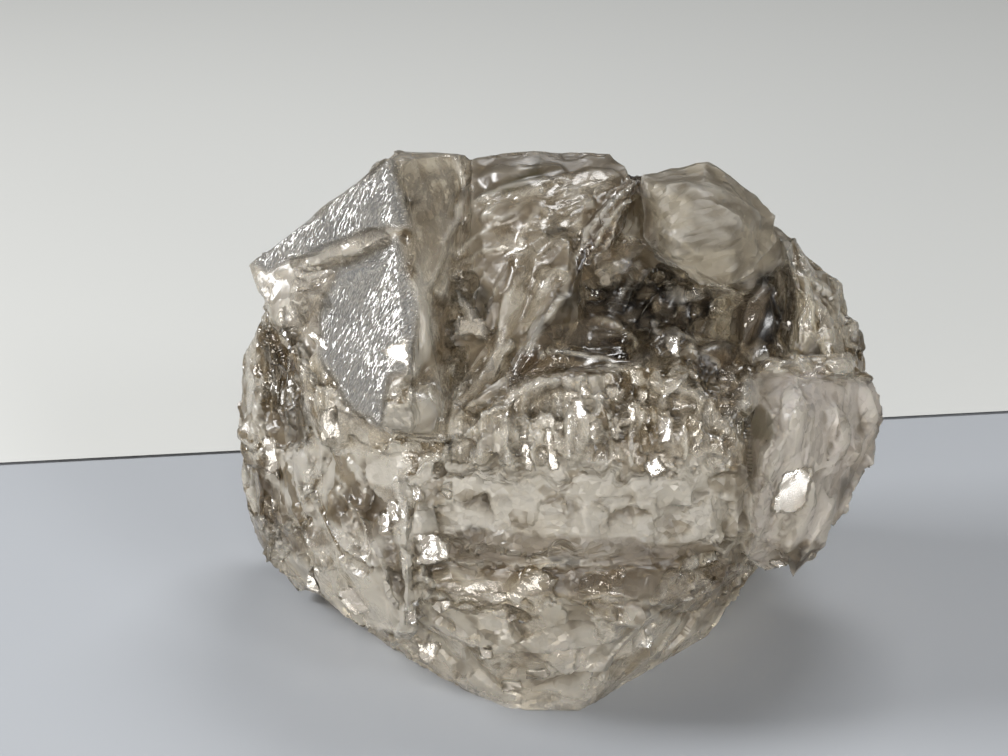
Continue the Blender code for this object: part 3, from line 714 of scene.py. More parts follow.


# patches of other tone: tone, how strongly, how far raised (mm) and outline; the near-white ones are painted
# highlights, and the near-black ones smoke deepened into painted shade
patches = [
    ("darkSmokeAndShade", 1.0, -0.9, [(618, 311), (633, 283), (655, 268), (682, 276), (668, 290), (668, 300), (664, 318),
        (645, 330), (625, 326)]),
    ("darkSmokeAndShade", 1.0, -0.9, [(672, 304), (700, 300), (724, 298), (712, 322), (700, 336), (694, 330),
        (680, 328)]),
    ("darkSmokeAndShade", 0.9, -0.8, [(744, 352), (762, 318), (768, 290), (790, 284), (793, 300), (788, 330), (772, 350),
        (758, 356)]),
    ("darkSmokeAndShade", 0.8, -0.7, [(560, 292), (600, 284), (622, 288), (604, 308), (585, 306), (564, 312)]),
    ("brown", 0.9, -0.6, [(503, 352), (529, 348), (560, 358), (592, 364), (572, 374), (508, 374)]),
    ("darkSmokeAndShade", 1.0, -0.5, [(640, 332), (656, 329), (650, 343), (641, 343)]),
    ("smoke", 0.9, -0.3, [(450, 256), (500, 246), (520, 264), (502, 300), (505, 340), (478, 372), (452, 372),
        (442, 330)]),
    ("darkSmokeAndShade", 0.9, -0.8, [(450, 274), (468, 271), (490, 290), (496, 306), (480, 322), (462, 296),
        (456, 312)]),
    ("brown", 0.9, -0.7, [(430, 288), (444, 298), (458, 330), (456, 362), (440, 370), (432, 330)]),
    ("darkSmokeAndShade", 0.9, -0.7, [(728, 284), (752, 275), (778, 266), (790, 274), (782, 284), (760, 284),
        (738, 291)]),
    ("darkSmokeAndShade", 0.8, -0.6, [(543, 230), (560, 225), (579, 231), (581, 241), (562, 237), (547, 239)]),
    ("darkSmokeAndShade", 0.8, -0.4, [(403, 197), (420, 198), (411, 214)]),
    ("darkSmokeAndShade", 1.0, -0.5, [(377, 398), (389, 407), (378, 418)]),
    ("darkSmokeAndShade", 0.9, -0.4, [(406, 343), (417, 348), (409, 362)]),
    ("darkSmokeAndShade", 0.9, -0.5, [(458, 533), (468, 523), (482, 528), (482, 546), (465, 542)]),
    ("brown", 0.7, -0.3, [(420, 530), (500, 530), (560, 536), (640, 540), (668, 554), (684, 578), (640, 564),
        (590, 562), (540, 556), (500, 562), (440, 562)]),
    ("darkSmokeAndShade", 0.8, -0.4, [(546, 556), (582, 559), (577, 569), (552, 563)]),
    ("darkSmokeAndShade", 0.8, -0.4, [(420, 562), (452, 561), (447, 571), (424, 574)]),
    ("darkSmokeAndShade", 0.7, -0.3, [(650, 547), (663, 547), (670, 568), (655, 563)]),
    ("smoke", 0.7, -0.2, [(640, 542), (740, 545), (738, 598), (700, 630), (650, 612), (600, 600), (545, 590),
        (560, 572)]),
    ("olive", 0.9, -0.5, [(730, 408), (760, 406), (774, 420), (779, 436), (768, 444), (742, 438),
        (731, 424)]),
    ("smoke", 0.7, -0.2, [(712, 440), (770, 442), (754, 480), (747, 524), (736, 524), (735, 470)]),
    ("brown", 0.8, -0.4, [(700, 352), (735, 348), (744, 380), (740, 406), (716, 412), (706, 394)]),
    ("darkSmokeAndShade", 0.9, -0.6, [(684, 360), (700, 350), (722, 364), (720, 392), (700, 398), (688, 386)]),
    ("darkSmokeAndShade", 0.6, -0.4, [(262, 350), (280, 344), (302, 384), (314, 450), (292, 444), (272, 400)]),
    ("smoke", 0.7, -0.3, [(250, 470), (266, 474), (280, 524), (272, 544), (256, 520)]),
    ("smoke", 0.8, -0.3, [(278, 528), (325, 530), (332, 546), (300, 552), (282, 546)]),
    ("smoke", 0.8, -0.2, [(330, 500), (360, 478), (398, 490), (402, 520), (372, 540), (350, 522)]),
    ("smoke", 0.5, -0.3, [(384, 548), (402, 546), (405, 590), (392, 590)]),
    ("brown", 0.9, -0.2, [(768, 558), (784, 548), (806, 540), (824, 544), (820, 576), (780, 578)]),
    ("darkSmokeAndShade", 0.7, -0.3, [(778, 562), (800, 546), (818, 552), (812, 572), (796, 574)]),
    ("darkSmokeAndShade", 0.7, -0.3, [(838, 482), (856, 466), (850, 492), (838, 508)]),
    ("smoke", 0.9, -0.1, [(466, 153), (500, 148), (543, 148), (528, 168), (498, 187), (472, 202)]),
    ("smoke", 0.8, -0.2, [(543, 148), (620, 151), (638, 170), (626, 190), (600, 180), (560, 176),
        (540, 168)]),
    ("smoke", 0.7, -0.3, [(476, 214), (500, 204), (530, 202), (536, 214), (520, 232), (500, 236), (482, 244),
        (470, 236)]),
    ("brown", 1.0, -0.8, [(580, 258), (589, 236), (603, 227), (621, 229), (630, 248), (626, 262), (604, 265),
        (599, 281), (584, 279)]),
    ("smoke", 0.9, -0.4, [(532, 331), (578, 321), (603, 315), (626, 332), (600, 341), (560, 349),
        (537, 350)]),
    ("darkSmokeAndShade", 0.9, -0.5, [(438, 440), (452, 431), (457, 440), (446, 452)]),
    ("smoke", 0.6, -0.3, [(500, 398), (560, 386), (545, 414), (504, 416)]),
    ("brown", 0.7, -0.3, [(592, 440), (610, 440), (608, 456), (590, 456)]),
    ("darkSmokeAndShade", 0.9, -0.4, [(506, 432), (512, 434), (518, 456), (510, 450)]),
    ("pale", 0.9, 0.2, [(280, 456), (360, 448), (368, 470), (340, 492), (328, 516), (284, 516)]),
    ("pale", 0.7, 0.3, [(376, 390), (400, 380), (434, 392), (440, 410), (414, 432), (386, 426)]),
    ("pale", 0.7, 0.3, [(418, 262), (430, 300), (438, 335), (426, 362), (412, 382), (406, 366), (416, 330),
        (414, 290)]),
    ("pale", 0.6, 0.1, [(576, 614), (656, 613), (657, 646), (600, 652), (578, 640)]),
    # a painted highlight
    ("paintedHighlight", 0.9, 0.2, [(544, 642), (574, 637), (575, 657), (552, 657)]),
    ("pale", 0.6, 0.1, [(560, 659), (602, 659), (614, 684), (590, 700), (540, 692), (547, 666)]),
    ("lilac", 0.9, 0.2, [(768, 382), (822, 366), (828, 400), (802, 440), (778, 442), (786, 410)]),
    ("lilac", 0.9, 0.3, [(834, 440), (857, 438), (850, 480), (832, 472)]),
    ("sand", 0.6, 0.1, [(648, 182), (690, 198), (692, 232), (654, 228)]),
    ("sand", 0.7, 0.1, [(742, 222), (776, 234), (776, 264), (744, 270)]),
    ("sand", 0.7, 0.1, [(664, 254), (736, 250), (734, 286), (700, 288), (676, 272)]),
    ("pale", 0.6, 0.2, [(238, 384), (254, 356), (262, 420), (256, 476), (243, 470)]),
    ("pale", 0.8, 0.2, [(480, 618), (502, 622), (502, 652), (481, 657)]),
    ("sand", 0.8, 0.3, [(794, 272), (814, 280), (812, 330), (802, 357), (788, 357), (796, 320)]),
    ("pale", 0.7, 0.3, [(498, 430), (511, 422), (519, 470), (504, 474)]),
    ("pale", 0.7, 0.3, [(718, 476), (731, 480), (729, 508), (717, 500)]),
    ("pale", 0.7, 0.2, [(680, 519), (702, 519), (701, 537), (683, 533)]),
    ("pale", 0.6, 0.1, [(540, 462), (690, 464), (700, 500), (560, 494)]),
    ("clear", 0.9, 0.9, [(601, 264), (616, 259), (624, 266), (620, 284), (603, 285)]),
    ("pale", 0.7, 0.5, [(668, 284), (690, 289), (706, 296), (682, 303), (668, 293)]),
    ("sand", 0.8, 0.3, [(712, 302), (735, 290), (732, 336), (711, 337)]),
    ("smoke", 0.9, 0.0, [(736, 292), (766, 288), (766, 318), (744, 352), (732, 336)]),
    ("pale", 0.8, 0.0, [(288, 250), (389, 228), (396, 241), (352, 263), (306, 269)]),
    ("pale", 0.7, 0.0, [(277, 288), (316, 289), (310, 323), (300, 336), (287, 320)]),
]
# folds and edges: tone, how strongly, how far raised (mm), width in outline units and line; the near-white
# ones are painted highlights
folds = [
    ("pale", 0.8, 0.9, 13, [(404, 500), (409, 560), (405, 620), (394, 652)]),
    ("pale", 0.7, 0.5, 9, [(384, 560), (391, 610), (398, 642)]),
    # a painted highlight along the strip's edge
    ("paintedHighlight", 1.0, 0.6, 9, [(455, 156), (466, 186), (458, 219), (443, 242)]),
    ("pale", 1.0, 1.1, 7, [(570, 272), (586, 234), (610, 203), (637, 182)]),
    ("sand", 0.8, 0.8, 5, [(588, 258), (600, 232), (620, 206), (638, 196)]),
    ("pale", 0.9, 0.8, 7, [(512, 266), (526, 226), (539, 206), (553, 213)]),
    ("pale", 0.9, 0.8, 9, [(535, 301), (554, 268), (567, 274), (563, 295), (542, 323), (528, 353)]),
    ("pale", 0.9, 0.7, 7, [(498, 337), (502, 311), (511, 290), (521, 276)]),
    # a painted highlight along the twisted fold
    ("paintedHighlight", 1.0, 0.9, 9, [(480, 378), (490, 360), (499, 341), (506, 328)]),
    ("pale", 0.8, 0.8, 6, [(538, 355), (560, 348), (581, 354), (609, 360), (628, 376)]),
    ("sand", 0.8, 0.7, 6, [(595, 316), (621, 326), (636, 341), (630, 353)]),
    ("pale", 0.8, 0.9, 7, [(662, 401), (682, 381), (695, 354), (694, 338), (675, 331)]),
    ("pale", 0.8, 0.7, 8, [(448, 447), (477, 418), (496, 406), (516, 398)]),
    ("pale", 0.7, 0.6, 5, [(580, 383), (600, 404), (616, 424), (612, 446)]),
    ("pale", 0.8, 0.7, 6, [(642, 396), (645, 426), (644, 454)]),
    ("pale", 0.8, 0.6, 5, [(643, 261), (630, 282), (616, 302)]),
    ("pale", 0.7, 0.6, 6, [(474, 206), (504, 186), (544, 177), (572, 190)]),
    ("pale", 0.7, 0.6, 6, [(452, 258), (476, 234), (500, 222), (520, 204)]),
    ("pale", 0.6, 0.5, 5, [(446, 284), (462, 262), (486, 250), (510, 246)]),
    ("sand", 0.8, 0.5, 6, [(660, 232), (684, 244), (702, 258), (668, 258)]),
    ("smoke", 0.6, -0.3, 4, [(700, 212), (736, 206), (760, 214)]),
    ("smoke", 0.5, -0.3, 4, [(690, 236), (720, 228), (746, 232)]),
    ("smoke", 0.7, -0.4, 4, [(672, 188), (690, 182), (702, 186)]),
    ("darkSmokeAndShade", 0.9, -0.5, 4, [(283, 304), (290, 326), (297, 348), (304, 368)]),
    ("brown", 0.8, -0.3, 3, [(418, 591), (450, 592), (500, 592)]),
    ("pale", 0.7, 0.4, 5, [(520, 575), (545, 566), (572, 560)]),
    ("brown", 0.7, -0.3, 4, [(540, 582), (570, 572), (584, 562)]),
    ("pale", 0.7, 0.4, 5, [(582, 602), (620, 596), (660, 604), (690, 612)]),
    ("brown", 0.6, -0.3, 4, [(590, 608), (640, 606), (700, 622), (730, 628)]),
    ("pale", 0.8, 0.6, 5, [(345, 532), (360, 546), (372, 572)]),
    ("pale", 0.7, 0.5, 6, [(264, 552), (284, 544), (302, 556)]),
    ("pale", 0.7, 0.6, 5, [(800, 372), (796, 410), (784, 440), (772, 470), (752, 500), (746, 560)]),
    ("brown", 0.6, -0.4, 3, [(745, 355), (766, 402), (780, 430), (760, 476), (750, 540)]),
    ("pale", 0.8, 0.6, 5, [(744, 358), (790, 362), (836, 352)]),
    ("smoke", 0.6, -0.4, 4, [(820, 376), (846, 384), (842, 420), (826, 460)]),
    ("brown", 0.8, -0.5, 3, [(806, 505), (794, 512), (784, 522), (776, 540)]),
]
# small flat faces that mirror a lamp towards the viewer, as outlines; their tint is also painted near white
# as a highlight
mirrors = [
    [(462, 295), (466, 302), (485, 326), (485, 339), (470, 330), (461, 337), (458, 325), (468, 316)],
    [(416, 536), (438, 536), (442, 556), (434, 563), (417, 563), (424, 548)],
    [(441, 543), (449, 545), (448, 557), (440, 557)],
    [(428, 608), (441, 601), (450, 604), (440, 613), (430, 620)],
    [(409, 612), (418, 609), (425, 623), (411, 623)],
    [(340, 594), (352, 588), (368, 612), (354, 612)],
    [(302, 576), (313, 571), (319, 590), (308, 587)],
    [(786, 474), (812, 468), (806, 500), (780, 526), (772, 508)],
    [(592, 424), (597, 424), (597, 442), (593, 442)],
    [(582, 383), (587, 383), (588, 396), (583, 396)],
    [(608, 386), (613, 386), (614, 398), (608, 396)],
    [(616, 388), (621, 390), (621, 402), (616, 400)],
    [(613, 418), (618, 418), (618, 440), (614, 438)],
    [(622, 419), (627, 419), (627, 433), (622, 433)],
    [(628, 407), (633, 408), (634, 421), (629, 419)],
    [(660, 419), (671, 419), (670, 441), (661, 441)],
    [(639, 391), (644, 391), (644, 404), (639, 402)],
    [(576, 401), (584, 401), (584, 417), (577, 417)],
    [(520, 420), (524, 420), (531, 470), (526, 468)],
    [(546, 430), (551, 432), (558, 468), (552, 470)],
    [(601, 272), (609, 272), (609, 284), (602, 284)],
    [(667, 337), (679, 337), (679, 356), (669, 350)],
    [(653, 322), (659, 324), (661, 334), (655, 332)],
    [(482, 650), (491, 650), (490, 657), (483, 657)],
    [(504, 683), (520, 683), (520, 690), (504, 689)],
    [(528, 671), (546, 671), (546, 677), (528, 677)],
    [(771, 561), (780, 561), (788, 568), (780, 570)],
    [(419, 644), (439, 644), (432, 661), (422, 658)],
    [(492, 595), (504, 595), (504, 601), (492, 601)],
    [(382, 513), (387, 516), (390, 531), (384, 534)],
    [(389, 502), (395, 503), (398, 520), (393, 520)],
    [(691, 365), (696, 366), (697, 378), (692, 376)],
    [(264, 440), (273, 440), (279, 479), (269, 479)],
    [(322, 414), (335, 408), (338, 434), (325, 437)],
    [(305, 330), (312, 313), (326, 349)],
    [(384, 351), (405, 340), (409, 365)],
    [(443, 486), (450, 484), (451, 496), (445, 496)],
    [(414, 488), (419, 488), (420, 500), (415, 500)],
    [(646, 466), (656, 458), (664, 470), (652, 478)],
    [(578, 258), (583, 246), (586, 250), (581, 262)],
]
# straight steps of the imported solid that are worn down: the width of the worn band (mm) and the line
seams = [
    (6.5, [(232, 441), (300, 442), (360, 440), (446, 441)]),
    (6.0, [(420, 481), (520, 480), (640, 481), (748, 482)]),
    (5.0, [(420, 546), (520, 545), (640, 546), (748, 548)]),
    (4.0, [(430, 578), (560, 580), (690, 584)]),
]
seamRounds = 36  # rounds of wear
markEdges = {
    "stray": ((0.9, 5), (0.4, 1.6)),  # how far a patch's border wanders, and the size of its turns, mm
    "soft": (-0.35, 0.45),  # mm inside the border where a patch starts and is full
}
mirrorLook = {
    "stray": (0.3, 1.8),  # how far a face's border wanders, and the size of its turns, mm
    "margin": 0.3,  # mm by which a face passes its outline
    "outward": 0.1,  # least facing, and greatest y in mm, of a point on a face
    "before": 10,
    "nearest": 3.0,  # mm behind its front that a face still takes its middle from
    "reach": 2.6,  # mm that a point may move
    "flatten": 0.9,  # share of the way into the plane
}
lamps = {  # places and sizes in m, power in W
    "window": {"place": (-0.75, 0.02, 0.52), "target": (0, 0, 0.05), "size": (0.32, 0.30), "power": 9.5},
    "ceiling": {"place": (0.15, 0.35, 0.8), "target": (0, 0, 0), "size": (0.4, 0.3), "power": 4.0},
    "room": {"place": (0.5, -0.6, 0.6), "target": (0, 0, 0.05), "size": (0.2, 0.2), "power": 2.0},
    "front": {"place": (0.05, -0.95, 0.66), "target": (0, 0, 0.05), "size": (0.14, 0.14), "power": 2.2},
    "low": {"place": (-0.30, -0.75, 0.14), "target": (0, 0, 0.03), "size": (0.40, 0.20), "power": 5.0,
            "tint": (1.0, 0.95, 0.88)},
    "right": {"place": (0.48, -0.82, 0.30), "target": (0, 0, 0.05), "size": (0.20, 0.20), "power": 3.2},
}
mirrored = ("window", "right", "low")  # the lamps that the flat faces mirror


def marksOf(p, n):
    # for every patch and fold: its tone, strength, height, the points it touches and how much
    u, v = seenAt(p)
    (wide, wideScale), (fine, fineScale) = markEdges["stray"]
    u = u + wide * wander(p, wideScale, 95) + fine * wander(p, fineScale, 97)
    v = v + wide * wander(p, wideScale, 96) + fine * wander(p, fineScale, 98)
    front = facing(p, n)
    out = []
    for tone, amount, height, outline in patches:
        outline = placed(outline)
        k = around(u, v, outline, 1)
        share = rise(within(u[k], v[k], outline), *markEdges["soft"]) * front[k]
        out.append((tone, amount, height, k, share))
    for tone, amount, height, width, line in folds:
        line = placed(line)
        k = around(u, v, line, 3)
        out.append((tone, amount, height, k, lineShare(u[k], v[k], line, width * viewer["unit"]) * front[k]))
    return out


def mirrorFaces(p, n):
    # which points lie on each flat face, and where they go: nearly into the plane through their middle square
    # to `half`, p - flatten ((p - middle) . half) half, half being halfway between the ways to the viewer and
    # to the lamp that asks for the smaller tilt
    u, v = seenAt(p)
    stray, scale = mirrorLook["stray"]
    u, v = u + stray * wander(p, scale, 97), v + stray * wander(p, scale, 98)
    front = (outwardness(n) > mirrorLook["outward"]) & (p[:, 1] < mirrorLook["before"])
    out = []
    for outline in mirrors:
        outline = placed(outline)
        k = around(u, v, outline, 1)
        k = k[(within(u[k], v[k], outline) > -mirrorLook["margin"]) & front[k]]
        if len(k) < 3:
            continue
        depth = p[k] @ gaze
        seen = depth < np.percentile(depth, 10) + mirrorLook["nearest"]
        heart, outward = p[k[seen]].mean(0), n[k[seen]].mean(0)
        halves = []
        for name in mirrored:
            ways = [eye - heart, np.array(lamps[name]["place"]) / mm + designMiddle - heart]
            half = sum(way / np.linalg.norm(way) for way in ways)
            halves.append(half / np.linalg.norm(half))
        half = max(halves, key=lambda h: h @ outward)
        off = (p[k] - heart) @ half
        close = np.abs(off) < mirrorLook["reach"]
        out.append((k[close], p[k[close]] - mirrorLook["flatten"] * off[close, None] * half))
    return out


def wornSeams(mesh, p):
    # relaxes the points near every seam, most on its line
    u, v = seenAt(p)
    weight = np.zeros(len(p))
    for width, line in seams:
        line = placed(line)
        k = around(u, v, line, width)
        weight[k] = np.maximum(weight[k], lineShare(u[k], v[k], line, width))
    return relaxed(mesh, p, weight * inFront(p), seamRounds)


# how the small sheets run in each zone: degrees from level as seen, and how much longer than wide
sheets = {
    "curtain": (88, 4.0), "flank": (97, 4.5), "middle": (44, 5.0), "cavity": (48, 4.5), "rim": (112, 2.4),
    "lump": (20, 4.5), "slab": (66, 1.8), "belt": (4, 1.3), "veils": (-3, 2.6), "lowerLeft": (-64, 2.4),
    "belly": (2, 1.2), "strip": (84, 3.5), "brown": (62, 3.0),
}
# the larger flat faces: their size in mm and how strongly each leans
bigCells = {"spacing": 8.0, "tilt": 0.34, "salt": 451}
crystalLook = {
    "grain": 0.5,  # size of the remeshed faces, mm
    "triangles": 195000,
    "ratio": 0.85,  # share of them kept for the thinned body
    "sharpOver": 28.0,  # degrees between faces that makes an edge
    "swells": 0.9,  # how deep the slow swells go, mm
    "calm": {"strip": 0.8, "middle": 0.75, "brown": 0.7, "cavity": 0.5, "lump": 0.8, "topBand": 0.9,
             "slab": 0.6},  # where the larger flat faces lean less
    "melt": 0.1, "meltFront": 0.5, "meltCavity": 0.75, "meltRounds": 5,  # how far the relief is relaxed
}


def laid(p, w):
    # places in mm, squeezed along each zone's direction by its ratio:
    # q = p - w (1 - 1 / ratio) ((p - zone middle) . along) along
    q = p + 0.9 * np.stack([wander(p, 6, 431 + k) for k in range(3)], 1)
    for name, (angle, ratio) in sheets.items():
        turn = math.radians(angle)
        way = np.array([math.cos(turn), math.sin(turn) * sinDown, math.sin(turn) * cosDown])
        share = w[name]
        heart = (p * share[:, None]).sum(0) / max(share.sum(), 1)
        q = q - (share * (1 - 1 / ratio) * ((p - heart) @ way))[:, None] * way
    return q


def lap(t, sharp):
    # overlapping layers: the height climbs as (t mod 1)^sharp through each, then drops; 0..1
    return (t - np.floor(t)) ** sharp


def rib(t, keep=0.5):
    # round ribs with sharp valleys: 1 - |2 (t mod 1) - 1|^2, each as high as its own random share from `keep`
    whole = np.floor(t)
    share = keep + (1 - keep) * scatter(np.stack([whole, whole * 0, whole * 0], 1), 777)
    return share * (1 - np.abs(2 * (t - whole) - 1) ** 2)


def offFoot(n):
    # 0 on the flat foot, which keeps its plane, 1 elsewhere
    return 1 - rise(-n[:, 2], 0.85, 0.97)


def relief(p, n):
    # how far each point moves out along its normal, mm: the slow swells, each zone's form as
    # -depth zone (1 - form), the leans of the larger flat faces, way . (chance - 1/2), and the heights of
    # the patches and folds
    look = crystalLook
    w = masksOf(p, n)
    u, v = seenAt(p)
    out = -look["swells"] * (1 - w["silver"]) * (1 - 0.5 * w["strip"]) * (1 - creased(p * 0.09, 2, 311))
    forms = [  # zone, depth in mm and form
        (w["flank"], 0.35, rib((u + 0.3 * v) / 1.3 + 0.6 * wander(p, 9, 242))),
        (w["curtain"], 0.7, rib(u / 2.7 + 0.5 * wander(p, 9, 221))),
        (w["lump"], 0.7, creased(p * 0.22, 2, 321)),
        (w["lump"], 0.4, lap(0.16 * u + 0.22 * v + 0.9 * wander(p, 14, 271), 0.8)),
        (np.maximum(w["slab"], w["belt"]), 0.3, creased(p * (0.16, 0.2, 0.3), 2, 291)),
    ]
    for zone, depth, form in forms:
        out = out - depth * zone * (1 - form)
    way, chance = cells(laid(p, w), bigCells["spacing"], bigCells["salt"])
    lean = bigCells["tilt"] * (way * (chance - 0.5)).sum(axis=1)
    out = out + lean * (1 - w["silver"]) * (1 - most(w, look["calm"]))
    for _, _, height, k, share in marksOf(p, n):
        out[k] += height * share
    return out * offFoot(n)


def packedSolid():
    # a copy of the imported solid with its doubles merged, and its points and triangles
    obj = linked("crystalBody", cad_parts["elestial_quartz"].data.copy())
    weld = obj.modifiers.new("weld", "WELD")
    weld.merge_threshold = 0.000001
    applied(obj)
    obj.data.calc_loop_triangles()
    t = np.empty(len(obj.data.loop_triangles) * 3, dtype=np.int32)
    obj.data.loop_triangles.foreach_get("vertices", t)
    return obj, designPoints(obj.data), t.reshape(-1, 3)


def cutEven(obj):
    # one closed skin of even small faces around the joined forms, snapped back onto them
    sharp = linked("sharpSolid", obj.data.copy())
    grid = obj.modifiers.new("grid", "REMESH")
    grid.mode = "VOXEL"
    grid.voxel_size = crystalLook["grain"] * mm
    snap = obj.modifiers.new("snap", "SHRINKWRAP")
    snap.target = sharp
    snap.wrap_method = "NEAREST_SURFACEPOINT"
    applied(obj)
    bpy.data.objects.remove(sharp)
    print("body cut into", len(obj.data.polygons), "faces")


def carved(mesh):
    # moves the skin's points: p + relief normal, then relaxed, then flattened at the mirroring faces
    look = crystalLook
    p = wornSeams(mesh, designPoints(mesh))
    setDesignPoints(mesh, p)
    n = normalsOf(mesh)
    p = p + n * relief(p, n)[:, None]
    w = masksOf(p, n)
    front = most(w, {"strip": 1, "lump": 1, "middle": 0.5})
    melt = look["melt"] + look["meltFront"] * front * (1 - w["cavity"]) + look["meltCavity"] * w["cavity"]
    melt = melt * (1 - w["silver"]) * offFoot(n)
    p = relaxed(mesh, p, melt, look["meltRounds"])
    setDesignPoints(mesh, p)
    for k, moved in mirrorFaces(p, normalsOf(mesh)):
        p[k] = moved
    p[:, 2] = np.maximum(p[:, 2], 0)  # nothing sinks below the floor
    setDesignPoints(mesh, p)
    print("relief done")


def thinned(obj, cutter):
    # fewer triangles, then the pits cut out
    thin = obj.modifiers.new("thin", "DECIMATE")
    thin.ratio = min(1.0, crystalLook["ratio"] * crystalLook["triangles"] / (2.0 * len(obj.data.polygons)))
    thin.use_collapse_triangulate = True
    carve = obj.modifiers.new("carve", "BOOLEAN")
    carve.operation = "DIFFERENCE"
    carve.solver = "MANIFOLD"
    carve.object = cutter
    applied(obj)
    bpy.data.objects.remove(cutter)
    largestShell(obj.data)
    print("body thinned to", len(obj.data.polygons), "faces")


def crystalBody():
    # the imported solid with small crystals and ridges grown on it, cut into small faces, carved and painted
    obj, p, t = packedSolid()
    tree = BVHTree.FromPolygons(p.tolist(), t.tolist())
    low, high = p.min(axis=0), p.max(axis=0)
    parts = [(p, t)] + grown(tree, low, high) + ridged(tree)
    cutter = linked("cutter", merged([hollows(tree, low, high)]))
    obj.data = merged(parts)
    cutEven(obj)
    carved(obj.data)
    thinned(obj, cutter)
    obj.data.set_sharp_from_angle(angle=math.radians(crystalLook["sharpOver"]))
    paint(obj.data)
    return obj


# tints; light that passes takes their square root
tones = {
    "clear": (0.80, 0.74, 0.62),
    "pale": (0.94, 0.91, 0.83),
    "lilac": (0.88, 0.83, 0.81),
    "smoke": (0.29, 0.235, 0.17),
    "brown": (0.17, 0.118, 0.068),
    # near black: smoke colour, deepened into painted shade in the cavity, the hollows and the darkest patches
    "darkSmokeAndShade": (0.004, 0.0025, 0.0015),
    "silver": (0.48, 0.49, 0.50),
    "green": (0.33, 0.285, 0.21),
    # near white: a painted highlight where the surface would catch a lamp
    "paintedHighlight": (1.0, 0.95, 0.87),
    "sand": (0.78, 0.70, 0.54),
    "olive": (0.13, 0.11, 0.06),
}
deepTones = ("darkSmokeAndShade", "brown", "olive", "smoke")  # no milk where these lie
# the fine strokes on the silvery faces: their direction, the direction across them, and their size in mm
etching = {"along": (-0.498, -0.384, -0.777), "across": (-0.688, 0.720, 0.085), "length": 0.85, "width": 0.16}
# by zone: roughness added, smoothness, what the small forms and the milk lose, and what a cell's chance gains
finish = {
    "frost": {"middle": 0.06, "topBand": 0.13, "belt": 0.25, "slab": 0.27, "lump": 0.34},
    "smooth": {"strip": 0.8, "topBand": 0.8, "lump": 0.15, "belly": 0.2},
    "facet": {"silver": 1, "cavity": 0.6, "middle": 0.25, "lump": 0.4},
    "glint": {"cavity": 0.7, "middle": 0.55, "curtain": 0.4},
    "grit": {"lump": 0.65, "strip": 0.75, "slab": 0.5, "belly": 0.3, "silver": 1, "belt": 0.25, "cavity": 0.6,
             "middle": 0.45, "topBand": 0.8, "window": 0.7},
    "milk": {"cavity": 0.7, "topBand": 0.5, "curtain": 0.4},
    "lean": {"belly": -0.06, "belt": -0.05, "slab": -0.08, "veils": 0.05, "lowerLeft": -0.04},
}
overall = {
    "frost": 0.11,  # roughness
    "clearer": 0.05,  # how much less of it the curtain and the cavity have
    "flecked": 0.20,  # and how much more the flecks
    "silverFrost": 0.06,
    "glint": 0.9,  # strength of the finest faces
    "silverGlint": 0.8,
    "glintFrom": (0.50, 0.60),  # the cloud values where they start and are full
    "milk": 0.8,
    "cellChance": 0.45,  # how much of a cell's chance is its own large cell's
    "fineSize": 0.95,
}
flatLook = {"facet": 0.05, "glint": 0.012, "frost": 0.08, "shineFrost": 0.14}  # of the flat mirroring faces


def swellOf(mesh, rounds):
    # how far each point stands above the mean of its surroundings, mm: + on edges, - in hollows
    p = pointsOf(mesh) / mm
    return ((p - relaxed(mesh, p, np.ones(len(p)), rounds)) * normalsOf(mesh)).sum(axis=1)


def washed(color, layers):
    # each tone in turn laid over the colour: color + (tone - color) amount
    for tone, amount in layers:
        color = color + (np.array(tones[tone]) - color) * np.clip(amount, 0, 1)[:, None]
    return color


